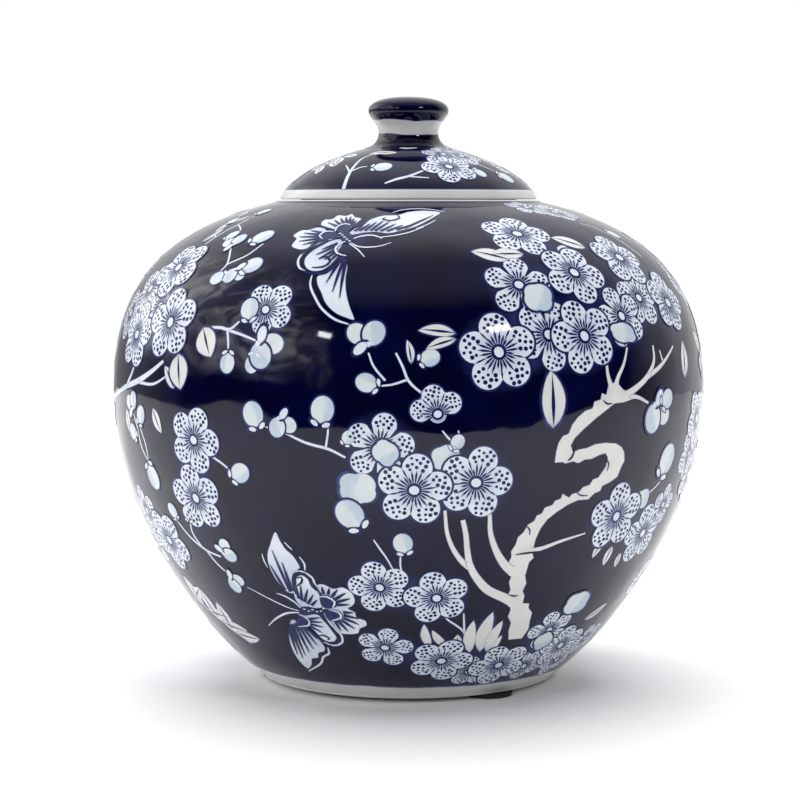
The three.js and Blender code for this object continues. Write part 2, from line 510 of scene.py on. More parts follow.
class Drawing:
    """A motif drawn flat, about 1 in size, whose coats lie a whole number apart in height."""

    def __init__(self, name, coats, wash=lambda x, y, level: 0.0):
        self.coats = coats
        self.wash = wash
        self.piece = bpy.data.objects.new(name, bpy.data.meshes.new(name))
        bpy.context.collection.objects.link(self.piece)
        bpy.ops.object.select_all(action="DESELECT")
        self.piece.select_set(True)
        bpy.context.view_layer.objects.active = self.piece
        bpy.ops.object.mode_set(mode="EDIT")

    def outline(self, points, level, filled=True):
        """A round put in through these points, and left selected."""
        bpy.ops.mesh.select_all(action="DESELECT")
        fill = "NGON" if filled else "NOTHING"
        bpy.ops.mesh.primitive_circle_add(vertices=len(points), radius=1, fill_type=fill)
        shaped = bmesh.from_edit_mesh(self.piece.data)
        round_ones = [vertex for vertex in shaped.verts if vertex.select]
        for vertex, (x, y) in zip(round_ones, points):
            vertex.co = (x, y, level)
        bmesh.update_edit_mesh(self.piece.data)

    def rings(self, points, centre, level, factors, closed=True):
        """An outline filled by rings drawn in towards a centre, to the centre if closed."""
        self.outline(points, level, filled=False)
        last = 1.0
        for factor in factors:
            bpy.ops.mesh.extrude_edges_indiv()
            part = factor / last
            bpy.ops.transform.resize(value=(part, part, 1), center_override=(*centre, level))
            last = factor
        if closed:
            bpy.ops.mesh.extrude_edges_indiv()
            bpy.ops.mesh.merge(type="CENTER")

    def dot(self, x, y, radius, level, sides=6, tall=1.0):
        steps = [2 * math.pi * k / sides for k in range(sides)]
        self.outline([(x + radius * math.sin(t), y + tall * radius * math.cos(t)) for t in steps], level)

    def dash(self, start, end, width, level, fullest=0.6, pieces=3):
        """A thin stroke, pointed at both ends, in short pieces that can follow the glaze."""
        (x0, y0), (x1, y1) = start, end
        length = math.hypot(x1 - x0, y1 - y0)
        across, up = -(y1 - y0) / length, (x1 - x0) / length
        last = [start]
        for k in range(1, pieces + 1):
            t = k / pieces
            half = width / 2 * min(1, 1.15 * t / fullest, 1.15 * (1 - t) / (1 - fullest))
            x, y = x0 + (x1 - x0) * t, y0 + (y1 - y0) * t
            now = [(x - across * half, y - up * half), (x + across * half, y + up * half)]
            if k == pieces:
                now = [end]
            self.outline(last[::-1] + now if len(last) > 1 else last + now, level)
            last = now

    def done(self):
        """The finished drawing as flat points, coats, faces and what each point is painted with."""
        bpy.ops.object.mode_set(mode="OBJECT")
        mesh = self.piece.data
        places = vertices_of(self.piece)
        self.flat = places[:, :2]
        self.level = places[:, 2].round().astype(int)
        edge_uses = {}
        self.faces = []
        for face in mesh.polygons:
            corners = list(face.vertices)
            self.faces.append(corners if face.normal.z > 0 else corners[::-1])
            for key in face.edge_keys:
                edge_uses[key] = edge_uses.get(key, 0) + 1
        self.bleed = np.zeros(len(places))
        for key, uses in edge_uses.items():
            if uses == 1:
                self.bleed[list(key)] = 1
        for face in self.faces:  # a small round of paint has no soft edge
            if self.bleed[face].all():
                self.bleed[face] = 0
        self.washed = np.array([self.wash(x, y, level) for (x, y), level in zip(self.flat, self.level)])
        self.paints = [self.coats[self.level[face[0]]] for face in self.faces]
        bpy.data.objects.remove(self.piece)
        return self


def turned_by(degrees, x, y):
    """A flat point turned clockwise about the middle."""
    c, s = math.cos(math.radians(degrees)), math.sin(math.radians(degrees))
    return x * c + y * s, y * c - x * s


def reach_of(petals, angle, grown=0.0):
    """How far out a flower's outline lies this way: the furthest of its round petals there."""
    reach = 0.3
    for bearing, distance, radius in petals:
        beside = distance * math.sin(angle - math.radians(bearing))
        ahead = distance * math.cos(angle - math.radians(bearing))
        if ahead > 0 and abs(beside) < radius + grown:
            reach = max(reach, ahead + math.sqrt((radius + grown) ** 2 - beside**2))
    return reach


petal_dots = [(-0.18, 0.54), (-0.02, 0.62), (0.15, 0.55), (-0.14, 0.69), (0.06, 0.74), (0.21, 0.67),
              (-0.04, 0.81),
              (0.12, 0.87), (-0.25, 0.63), (-0.18, 0.84), (0.24, 0.80)]


def flower_wash(x, y, level):
    """How much blue is washed into a flower: most near its eye, and only on its petals."""
    if level != 1:
        return 0.0
    return float(np.interp(math.hypot(x, y), [0.2, 0.34, 0.5, 0.7], [0.55, 0.32, 0.08, 0.0]))


def flower(name, petals, filaments=24):
    """A plum blossom: round petals, dotted, with a dark eye and filaments about a white middle."""
    drawn = Drawing(name, {0: LINE, 1: WHITE, 2: LINE, 3: LINE, 4: WHITE}, flower_wash)
    angles = [2 * math.pi * k / 60 for k in range(60)]

    def lobed(grown):
        reaches = [reach_of(petals, t, grown) for t in angles]
        return [(math.sin(t) * r, math.cos(t) * r) for t, r in zip(angles, reaches)]

    drawn.rings(lobed(0.05), (0, 0), 0, [0.85], closed=False)
    drawn.rings(lobed(0.0), (0, 0), 1, [0.97, 0.75, 0.5, 0.3], closed=True)
    for k, (bearing, distance, radius) in enumerate(petals):
        grow = radius / 0.39
        for n, (x, y) in enumerate(petal_dots):
            place = turned_by(bearing, x * grow, distance + (y - 0.60) * grow)
            drawn.dot(*place, (0.044 + 0.008 * ((n + k) % 3)) * grow, 2)
        after = petals[(k + 1) % len(petals)][0] + (360 if k == len(petals) - 1 else 0)
        if after - bearing < 100:
            between = (bearing + after) / 2
            notch = reach_of(petals, math.radians(between))
            drawn.dash(turned_by(between, 0, 0.25), turned_by(between, 0, notch + 0.02), 0.055, 2, 0.8)
    for k in range(filaments):
        angle = 360 * k / filaments
        if len(petals) < 5 and 105 < angle < 255:
            continue  # half a flower has none below
        length = 0.47 + 0.09 * math.cos(math.radians(5 * angle)) + 0.06 * (k % 2)
        drawn.dash(turned_by(angle, 0, 0.10), turned_by(angle, 0, length), 0.062, 2, 0.6)
    drawn.dot(0, 0, 0.20, 3, sides=14)
    drawn.dot(0, 0, 0.135, 4, sides=10, tall=0.9)
    return drawn.done()


open_flower = flower("open_flower", [(72 * k, 0.60, 0.40) for k in range(5)])
leaning_flower = flower("leaning_flower",
                        [(0, 0.64, 0.41), (70, 0.58, 0.40), (143, 0.47, 0.37), (217, 0.47, 0.37),
                         (290, 0.58, 0.40)])
narrow_flower = flower("narrow_flower", [(72 * k, 0.63, 0.36) for k in range(5)])
half_flower = flower("half_flower", [(-64, 0.56, 0.37), (0, 0.60, 0.39), (64, 0.56, 0.37)])


def round_points(x, y, radius, sides, tall=1.0, lean=0.0):
    """Points round an oval, taller than wide by tall, its top turned clockwise by lean."""
    found = []
    for k in range(sides):
        t = 2 * math.pi * k / sides
        across, up = turned_by(lean, radius * math.sin(t), tall * radius * math.cos(t))
        found.append((x + across, y + up))
    return found


def oval(drawn, x, y, radius, level, tall=1.0, lean=0.0):
    """An oval petal or bud with a blue line round it."""
    drawn.rings(round_points(x, y, radius + 0.11, 22, tall, lean), (x, y), level, [0.75], closed=False)
    drawn.rings(round_points(x, y, radius, 22, tall, lean), (x, y), level + 1, [0.92, 0.5])


def folded(x, y, level):
    """The wash on a folded petal or a bud: blue on its right side."""
    return 0.75 if x > 0.12 else 0.1


def petal_back():
    """The pale back of a petal that is folded over a flower's middle."""
    drawn = Drawing("petal_back", {0: LINE, 1: PALE}, folded)
    lobes = [(20, 0.35, 0.66), (110, 0.34, 0.60), (205, 0.36, 0.62), (290, 0.32, 0.60)]
    angles = [2 * math.pi * k / 30 for k in range(30)]
    for level, grown, factors in ((0, 0.13, [0.75]), (1, 0.0, [0.93, 0.5])):
        reaches = [reach_of(lobes, t, grown) for t in angles]
        points = [(math.sin(t) * r, math.cos(t) * r) for t, r in zip(angles, reaches)]
        drawn.rings(points, (0, 0), level, factors, closed=level == 1)
    return drawn.done()


def bud():
    """An oval bud, pale on one side, with white sepals about its foot."""
    drawn = Drawing("bud", {0: LINE, 1: PALE, 2: LINE, 3: WHITE},
                    lambda x, y, level: folded(x, y, level) * (level == 1))
    oval(drawn, 0, 0.15, 0.80, 0, tall=1.15)
    oval(drawn, -0.40, -0.80, 0.15, 2, tall=2.0, lean=-62)
    oval(drawn, 0.40, -0.80, 0.15, 2, tall=2.0, lean=62)
    return drawn.done()


def double_bud():
    """A blossom just opening, from the side: plump petals about a little calyx."""
    drawn = Drawing("double_bud", {0: LINE, 1: PALE, 2: LINE, 3: PALE, 4: LINE, 5: WHITE},
                    lambda x, y, level: folded(x - 0.2, y, level) * (level in (1, 3)))
    oval(drawn, -0.48, 0.30, 0.58, 0, tall=1.15, lean=-30)
    oval(drawn, 0.46, 0.20, 0.66, 2, tall=1.15, lean=30)
    oval(drawn, -0.40, -0.58, 0.28, 4, tall=1.7, lean=55)
    drawn.dot(0.10, -0.40, 0.16, 5, sides=8)
    return drawn.done()


def leaf_outline(width, bend=0.0, steps=9):
    """Points round a pointed leaf of length 1 that grows upwards from the middle."""
    rises = [k / steps for k in range(steps + 1)]
    half = [width / 2 * math.sin(math.pi * t**0.9) ** 0.75 for t in rises]
    middle = [bend * math.sin(math.pi * t) for t in rises]
    left = [(m - h, t) for m, h, t in zip(middle, half, rises)]
    right = [(m + h, t) for m, h, t in zip(middle, half, rises)]
    return left[:-1] + right[:0:-1]


def leaf(name, width, bend=0.0, rib=0.07, edge=0.05):
    """A pointed leaf with a blue line round it and, if it has a rib, one along it."""
    drawn = Drawing(name, {0: LINE, 1: BARE, 2: LINE}, lambda x, y, level: max(0.0, 0.3 - 1.2 * y))
    middle = (bend * 0.9, 0.5)
    grown = [(middle[0] + (x - middle[0]) * (1 + 2 * edge / width), y + edge * (2 * y - 1))
             for x, y in leaf_outline(width, bend)]
    drawn.rings(grown, middle, 0, [0.75], closed=False)
    drawn.rings(leaf_outline(width, bend), middle, 1, [0.9, 0.45])
    if rib:
        drawn.dash((bend * 0.3, 0.0), (bend * 0.8, 0.97), rib, 2, 0.4, pieces=8)
    return drawn.done()


folded_petal = petal_back()
round_bud = bud()
paired_bud = double_bud()
broad_leaf = leaf("broad_leaf", 0.46, 0.03)
slim_leaf = leaf("slim_leaf", 0.32, 0.05)
round_leaf = leaf("round_leaf", 0.78, 0.04, 0.08)
young_leaf = leaf("young_leaf", 0.27, -0.05, 0)


class Spray:
    """Everything painted in one place, which becomes one sheet of white and one of blue lines."""

    def __init__(self, name, around=0.0, skin=body_skin, rides="jar", finish="body_glaze"):
        self.name, self.around, self.skin, self.rides, self.finish = name, around, skin, rides, finish
        self.sheets = []
        self.blooms = []

    def frame_at(self, azimuth, rise):
        azimuth = math.radians(azimuth + self.around)
        place, facing = self.skin.at(np.array([azimuth]), np.array([rise * mm]))
        east = np.array([math.cos(azimuth), math.sin(azimuth), 0])
        return place[0], east, np.cross(facing[0], east)

    def stamp(self, drawn, azimuth, rise, size, turn=0.0, over=0, squash=1.0):
        """A copy of a drawing, of this size in mm, turned clockwise, over so many others."""
        place, east, up = self.frame_at(azimuth, rise)
        x, y = turned_by(turn, drawn.flat[:, 0] * size * mm, drawn.flat[:, 1] * size * squash * mm)
        places = place + x[:, None] * east + y[:, None] * up
        self.add(places, drawn.level, drawn.faces, drawn.paints, drawn.bleed, drawn.washed, over)

    def add(self, places, level, faces, which, bleed, wash, over):
        height = coat * (1.5 + level) + overlap * over
        self.sheets.append((places, height * np.ones(len(places)), faces, which, bleed, wash))

    def bloom(self, azimuth, rise, size, over=0, turn=0.0, drawn=open_flower, squash=1.0):
        self.blooms.append((azimuth + self.around, rise, size))
        self.stamp(drawn, azimuth, rise, size, turn, over, squash)

    def stroke(self, points, which=WHITE, over=0, wash=0.0, step=1.6, rooted=0.0):
        """A brush stroke through azimuth in degrees, rise and width in mm. It runs out of another
        over its first rooted mm, and has no blue edge there."""
        knots = np.array(points, float)
        if len(knots) > 2:
            knots = smoothed(knots, step)
        else:
            knots = knots[0] + np.linspace(0, 1, 8)[:, None] * (knots[1] - knots[0])
        azimuths = np.radians(knots[:, 0] + self.around)
        places, facing = self.skin.at(azimuths, knots[:, 1] * mm)
        along = np.gradient(places, axis=0)
        along /= np.linalg.norm(along, axis=1)[:, None]
        side = np.cross(facing, along)
        half = knots[:, 2] / 2
        inner = np.maximum(half - bleed_width, half * 0.45)
        columns = [-half, -inner, inner, half]
        sheet = np.stack([places + side * c[:, None] * mm for c in columns], 1)
        rows, count = len(knots), len(columns)
        faces = [[i * count + j, (i + 1) * count + j, (i + 1) * count + j + 1, i * count + j + 1]
                 for i in range(rows - 1) for j in range(count - 1)]
        run = np.concatenate([[0], np.cumsum(np.linalg.norm(np.diff(places, axis=0), axis=1))]) / mm
        bleed = ((run >= rooted)[:, None] * np.array([1.0, 0, 0, 1.0])).ravel()
        flat = sheet.reshape(-1, 3)
        self.add(flat, np.zeros(len(flat)), faces, [which] * len(faces), bleed,
                 np.full(len(flat), wash), over)

    def cut(self, points, which=WHITE, over=0, wash=None, smooth=True, grid=2.6):
        """A patch of any outline, through azimuth in degrees and rise in mm. The wash is deepest
        at its root, given in the same way, and gone this many mm away from it."""
        loop = np.array(points, float)
        middle = loop.mean(0)
        place, _, _ = self.frame_at(*middle)
        across = math.radians(1) * np.hypot(place[0], place[1]) / mm
        loop = (loop - middle) * [across, 1]
        if smooth:
            loop = smoothed(np.vstack([loop, loop[:1]]), 1.2, closed=True)[:-1]
        else:
            loop = np.vstack([a + (b - a) * t for a, b in zip(loop, np.roll(loop, -1, 0))
                              for t in np.arange(0, 0.999, min(0.5, 1.6 / np.linalg.norm(b - a)))[:, None]])
        flat, faces, rim = filled(loop, grid)
        azimuths = np.radians(flat[:, 0] / across + middle[0] + self.around)
        places, _ = self.skin.at(azimuths, np.clip((flat[:, 1] + middle[1]) * mm, 0, self.skin.rise[-1]))
        shade = np.zeros(len(flat))
        if wash:
            root, _, _ = self.frame_at(*wash[:2])
            shade = 0.5 * np.clip(1 - np.linalg.norm(places - root, axis=1) / (wash[2] * mm), 0, 1)
        self.add(places, np.zeros(len(flat)), faces, [which] * len(faces), rim, shade, over)

    def finish_sheets(self):
        for part, wanted in (("white", (WHITE, BARE, PALE)), ("lines", (LINE,))):
            self.make(self.name + "_" + part, wanted)

    def make(self, name, wanted):
        places, heights, bleeds, washes, faces, which = [], [], [], [], [], []
        first = 0
        for sheet_places, height, sheet_faces, sheet_which, bleed, wash in self.sheets:
            kept = [k for k, each in enumerate(sheet_which) if each in wanted]
            if not kept:
                continue
            used = sorted({corner for k in kept for corner in sheet_faces[k]})
            renumbered = {corner: first + n for n, corner in enumerate(used)}
            faces += [[renumbered[corner] for corner in sheet_faces[k]] for k in kept]
            which += [wanted.index(sheet_which[k]) for k in kept]
            places.append(sheet_places[used])
            heights.append(height[used])
            bleeds.append(bleed[used])
            washes.append(wash[used])
            first += len(used)
        if not faces:
            return
        azimuths, rises = self.skin.settle(np.vstack(places))
        on_skin, facing = self.skin.at(azimuths, rises)
        laid = on_skin + facing * np.concatenate(heights)[:, None]
        mesh = bpy.data.meshes.new(name)
        mesh.from_pydata(laid.tolist(), [], faces)
        for each in wanted:
            mesh.materials.append(paints[each])
        mesh.polygons.foreach_set("material_index", which)
        mesh.polygons.foreach_set("use_smooth", [True] * len(faces))
        attribute(mesh, "bleed", np.concatenate(bleeds))
        attribute(mesh, "wash", np.concatenate(washes))
        mesh.normals_split_custom_set_from_vertices(facing.tolist())
        piece = bpy.data.objects.new(name, mesh)
        bpy.context.collection.objects.link(piece)
        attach(piece, self.rides)


def smoothed(knots, step, closed=False):
    """Points a step apart or less on a smooth curve through the knots."""
    before = knots[-2] if closed else 2 * knots[0] - knots[1]
    after = knots[1] if closed else 2 * knots[-1] - knots[-2]
    padded = np.vstack([before, knots, after])
    found = []
    for a, b, c, d in zip(padded, padded[1:], padded[2:], padded[3:]):
        count = max(2, int(np.ceil(np.linalg.norm((c - b)[:2]) / step)))
        t = np.linspace(0, 1, count, endpoint=False)[:, None]
        bent = (2 * a - 5 * b + 4 * c - d) * t**2 + (3 * b - a - 3 * c + d) * t**3
        found.append(0.5 * (2 * b + (c - a) * t + bent))
    return np.vstack(found + [knots[-1]])


def filled(loop, grid):
    """A flat outline filled with small triangles, and which of its points are on the rim."""
    if sum(a[0] * b[1] - b[0] * a[1] for a, b in zip(loop, np.roll(loop, -1, 0))) < 0:
        loop = loop[::-1]
    along = np.roll(loop, -1, 0) - np.roll(loop, 1, 0)
    along /= np.linalg.norm(along, axis=1)[:, None]
    inner = loop + bleed_width * np.column_stack([-along[:, 1], along[:, 0]])
    low, high = loop.min(0), loop.max(0)
    across, up = np.meshgrid(np.arange(low[0], high[0], grid), np.arange(low[1], high[1], grid))
    spread = np.column_stack([across.ravel(), up.ravel()])
    clear = np.linalg.norm(spread[:, None] - loop[None], axis=2).min(1) > 0.5 * grid
    points = np.vstack([loop, inner, spread[clear]])
    count = len(loop)
    edges = [(count + k, count + (k + 1) % count) for k in range(count)]
    found = mathutils.geometry.delaunay_2d_cdt(
        [mathutils.Vector(each) for each in points], edges, [list(range(count))], 1, 1e-6
    )
    flat = np.array([tuple(each) for each in found[0]])
    rim = np.array([1.0 if any(k < count for k in origin) else 0.0 for origin in found[3]])
    return flat, [list(face) for face in found[2]], rim


# ---------------------------------------------------------------------------------------------
# The composition: a plum tree that rises on the right into a great spray on the shoulder, with
# sprays and butterflies to its left. It is painted twice, once on each half of the jar.
# ---------------------------------------------------------------------------------------------
dice = random.Random(4)
blooms = []


def any_turn():
    return dice.uniform(0, 72)


def shoulder_spray(side, around):
    """The great spray on the right shoulder, its leaves, and the twigs that carry it."""
    spray = Spray(f"shoulder_spray_{side}", around)
    for azimuth, rise, length, turn in ((22, 190, 15, -68), (26, 193, 14, -88), (45, 196, 15, -58),
                                        (63, 138, 15, 8), (26, 123.5, 22, -2)):
        spray.stamp(broad_leaf, azimuth, rise, length, turn)
    spray.stamp(slim_leaf, 8.5, 159, 14, -84)
    spray.stamp(slim_leaf, 8.5, 157, 12, -108)
    for azimuth, rise, size, over, drawn in (
        (28, 206, 14, 0, open_flower), (22, 178, 13.5, 0, narrow_flower), (36, 183, 14, 2, open_flower),
        (54, 190, 14, 1, open_flower), (51.5, 171, 12, 0, open_flower), (26, 158, 14, 0, narrow_flower),
        (16, 152, 15, 1, open_flower), (44, 164, 12.5, 1, narrow_flower), (33.5, 157, 14.5, 2, open_flower),
        (62.5, 168, 14, 2, leaning_flower), (57, 226, 11, 0, leaning_flower),
        (47, 232, 9, 0, narrow_flower),
    ):
        spray.bloom(azimuth, rise, size, over, any_turn(), drawn)
    spray.stamp(folded_petal, 25.3, 172.5, 6.6, 30, 2)
    spray.stamp(folded_petal, 43.2, 157.5, 7.6, 14, 3, 0.55)
    spray.stamp(folded_petal, 37.5, 194.5, 3.6, 10, 0)
    spray.stamp(round_bud, 62, 222, 4.0, 60)
    spray.stamp(round_bud, 66, 205, 3.6, 130)
    spray.stroke([(57, 214, 0.7), (61, 210, 0.8), (64, 200, 0.8), (66, 190, 1.0)])
    spray.finish_sheets()
    return spray.blooms


def tree_trunk(side, around):
    """The old trunk, bent twice and rough at its edges, with thinner stems rising beside it."""
    trunk = Spray(f"tree_trunk_{side}", around)
    trunk.cut([
        (38, 139), (37.4, 135), (36.4, 135.8), (36, 133.4), (34.6, 132.8), (34.2, 130.4), (32.6, 129.6),
        (31, 127.4), (29.8, 124.6), (29.2, 121.6), (28, 120.8), (27.2, 118.4), (26.8, 115),
        (26.7, 110.8), (28.4, 110.8), (29, 110.2), (30.6, 110.8), (31.8, 110), (33.2, 111.2),
        (34.6, 111.2), (36.6, 112.6), (37.8, 113), (38.5, 111.2), (38.2, 107.8), (36.8, 104),
        (35.6, 103.4), (35, 101.4), (33.6, 100.8), (32.8, 99), (31.2, 98.2), (30.8, 97), (29.2, 98.8),
        (28.9, 96.8), (27.8, 96.2), (27.4, 94.6), (25.8, 93.6), (25.4, 91.4), (24.4, 90.6), (24, 88.4),
        (22.8, 87), (22.2, 84), (21.2, 82), (21, 79), (20.3, 76), (20.6, 73.6), (20.2, 71), (21, 68.6),
        (21.6, 66), (21.3, 62), (22.1, 58.4), (21.8, 55.6), (22.6, 52), (23.6, 48.4), (23.5, 45),
        (24.9, 41.4), (25.1, 37), (26.2, 32), (30.2, 32), (30.9, 37), (30.2, 41.6), (29.8, 46),
        (28.3, 48.6), (28, 51), (26.3, 51.4), (26.1, 55), (25.3, 57.4), (25.6, 61), (24.8, 64.6),
        (24.9, 70.6), (25.7, 72.6), (25.1, 75), (25.2, 80.6), (25.8, 85), (26.9, 88.6), (28.7, 91.4),
        (30.9, 94), (32.9, 95.4), (35.4, 95.4), (36.6, 97.6), (38, 98.4), (38.2, 100.2), (40.2, 101.6),
        (41.8, 103.4), (42.3, 106.6), (43, 109.4), (42.7, 112.6), (41.8, 115), (40.2, 116.6),
        (37.6, 117.2), (35.2, 117), (33.4, 115.8), (31.6, 115.4), (30.4, 114.6), (29.9, 117),
        (30.6, 119.6), (32.6, 123), (35.2, 126.6), (38, 129.8), (39.4, 131.4), (41.8, 131.6),
        (44.4, 134.4), (41.6, 136.6), (40.2, 139.4),
    ], BARE, smooth=False)
    for points, rooted in (
        ([(24.6, 51, 4.4), (21.5, 54.5, 4.2), (17, 59, 3.8), (14, 65, 3.2), (12.2, 71, 2.8),
          (11.3, 78, 2.4), (10.8, 84, 2.2), (10, 90, 2.0)], 4),
        ([(12.6, 69.6, 3.0), (10.6, 72.5, 2.4), (8.6, 78, 2.0), (7.2, 85, 1.7), (6.6, 94, 1.4)], 3),
        ([(23.4, 65, 4.6), (20, 69.4, 3.6), (17.4, 76, 2.8), (15.6, 84, 2.2), (15, 92, 1.7)], 5),
        ([(23, 75.4, 2.6), (27, 76.6, 2.0), (31, 79, 1.6), (36.6, 81.4, 0.8)], 4),
        ([(42, 134, 3.4), (45.5, 137, 2.6), (48.5, 140.5, 2.4), (51, 146, 1.8), (51.4, 152, 1.3)], 2.5),
        ([(48, 140, 2.2), (52, 143, 2.0), (55, 146, 1.6), (59, 151, 1.0)], 2),
        ([(39.4, 136, 3.0), (40.4, 141, 2.0), (42.2, 146, 1.5), (43.6, 152, 1.1)], 3),
        ([(38.9, 136, 3.0), (38, 142, 1.8), (37.8, 147, 1.4), (37, 153, 1.1)], 3),
        ([(41.4, 133, 2.6), (45, 133.4, 1.8), (48.6, 130.6, 1.2)], 3),
        ([(54, 146, 1.2), (53.4, 150, 0.9)], 1), ([(53, 95, 0.8), (55.6, 98, 1.0), (57, 102, 1.0)], 0),
    ):
        trunk.stroke(points, BARE, 1, rooted=rooted)
    for points in (
        [(31, 117, 0.4), (30.2, 112.6, 0.9), (29.4, 111.4, 0.4)],
        [(21.4, 74.6, 0.3), (24, 75, 0.9), (27, 75.3, 0.3)],
        [(37.4, 112, 0.3), (38.9, 109, 0.7), (38.6, 106, 0.3)],
        [(36.6, 133, 0.3), (37.6, 131.6, 0.7), (38.8, 131.6, 0.3)],
        [(22.4, 86.8, 0.3), (23.4, 85, 0.6), (23.6, 82.6, 0.3)],
        [(22, 56.2, 0.3), (23.4, 55.4, 0.7), (24.4, 55.6, 0.3)],
        [(32.2, 98.8, 0.3), (33.4, 97.4, 0.6), (35, 97.2, 0.3)],
    ):
        trunk.stroke(points, LINE, 2)
    trunk.stamp(paired_bud, 51.4, 127, 7.6, 160, 2)
    trunk.stamp(round_bud, 54.6, 131, 4.6, 60, 3)
    trunk.stamp(round_bud, 57, 106.5, 7.0, 25, 1)
    trunk.finish_sheets()
    return trunk.blooms


def lower_flowers(side, around):
    """The flowers in the middle and round the foot of the tree, with leaves between them."""
    spray = Spray(f"lower_flowers_{side}", around)
    for azimuth, rise, size, over, drawn in (
        (-5, 118, 13, 0, narrow_flower), (1, 102, 14, 2, open_flower), (12, 104.5, 14, 1, open_flower),
        (44, 87, 14, 1, open_flower), (56, 77, 13, 0, open_flower), (6, 56, 12.5, 1, open_flower),
        (-6, 61, 12, 0, open_flower), (-6, 30, 11, 0, narrow_flower), (9, 22, 12.5, 1, open_flower),
        (27, 17, 12.5, 1, open_flower), (38, 35, 10.5, 0, narrow_flower), (47, 24, 11.5, 1, open_flower),
        (18, 14, 10, 0, leaning_flower), (61, 88, 9, 0, narrow_flower), (60, 24, 9, 0, narrow_flower),
        (52, 14, 10, 0, open_flower), (37, 14, 10, 0, leaning_flower),
    ):
        spray.bloom(azimuth, rise, size, over, any_turn(), drawn)
    spray.stamp(half_flower, 5, 130, 11, -14)
    for azimuth, rise, size, turn, over in ((-9, 102.5, 8.0, 200, 0), (6.5, 114, 6.2, 10, 0),
                                            (-4, 116, 5.6, 60, 3), (42.5, 48, 7.2, 20, 2),
                                            (38, 29, 5.6, 80, 2),
                                            (51, 92.5, 5.4, 20, 0)):
        spray.stamp(folded_petal, azimuth, rise, size, turn, over, 0.85)
    for azimuth, rise, size, turn, over in ((-10.5, 91.5, 6.6, -32, 1), (-1, 80, 4.6, -10, 1),
                                            (8.4, 119.4, 3.2, 30, 0)):
        spray.stamp(round_bud, azimuth, rise, size, turn, over)
    for azimuth, rise, length, turn in ((42.4, 77, 8, 200), (46, 74, 9, 185), (50, 70, 7, 175),
                                        (12, 28, 9, 0)):
        spray.stamp(broad_leaf, azimuth, rise, length, turn)
    for azimuth, rise, length, turn in ((5.6, 30, 13.5, -14), (10, 30, 12, -36), (16.4, 26, 18.5, -6),
                                        (19.2, 26, 22.5, 1),
                                        (21.2, 25.6, 18, 7), (22.6, 24.4, 11, 10)):
        spray.stamp(young_leaf, azimuth, rise, length, turn)
    spray.stamp(slim_leaf, 50, 37, 13, 58)
    spray.stroke([(7.4, 49, 0.6), (9, 45, 0.9), (11.5, 41.5, 1.0), (13.5, 38, 1.1), (15, 33, 1.8),
                  (16.5, 28, 2.0)])
    spray.stroke([(12.5, 48, 0.7), (13, 43, 0.9), (13.5, 38, 1.0)])
    spray.stroke([(5.8, 124, 0.6), (7, 121, 0.9), (8.6, 118, 0.9)])
    spray.stroke([(8.6, 124, 0.6), (8.8, 121, 0.8), (9.4, 118.5, 0.8)])
    spray.stroke([(-1, 66, 0.7), (-1.6, 71, 0.8), (-1.5, 76, 0.8)])
    spray.stroke([(-6.6, 82, 0.6), (-5.4, 78, 0.9), (-4.2, 74, 0.8), (-3, 69, 0.6)])
    spray.finish_sheets()
    return spray.blooms


def bud_twigs(side, around):
    """Thin twigs of buds that come down between the butterfly and the middle flowers."""
    twigs = Spray(f"bud_twigs_{side}", around)
    for points in (
        [(-2.2, 152, 0.9), (-1, 147, 1.1), (0, 142, 1.2), (2, 138, 1.0), (5, 134, 0.8)],
        [(0, 142.5, 1.1), (-3, 140.5, 0.9), (-6, 140, 0.7)],
        [(-7, 152, 0.8), (-6, 147, 1.0), (-4, 142, 1.0)],
        [(-22, 122.5, 0.9), (-18, 119, 1.2), (-14, 117, 1.2), (-11, 114, 1.0)],
        [(-14.5, 117, 1.0), (-14, 123, 0.9), (-14, 127, 0.8)],
        [(-27, 125, 0.7), (-22, 122.5, 0.8)],
    ):
        twigs.stroke(points)
    for azimuth, rise, size, turn, over, drawn in (
        (-7.5, 157.5, 6.4, -8, 1, paired_bud), (3.5, 150, 4.0, 70, 0, round_bud),
        (-7, 141, 4.4, -70, 1, round_bud),
        (-15, 130.5, 5.6, 10, 1, round_bud), (-22.5, 126, 5.0, 160, 1, paired_bud),
        (-28, 128, 5.4, -20, 1, round_bud),
        (-10.5, 121, 3.0, 30, 0, round_bud),
    ):
        twigs.stamp(drawn, azimuth, rise, size, turn, over)
    twigs.stamp(slim_leaf, 0.5, 148, 9, -10)
    twigs.finish_sheets()
    return twigs.blooms


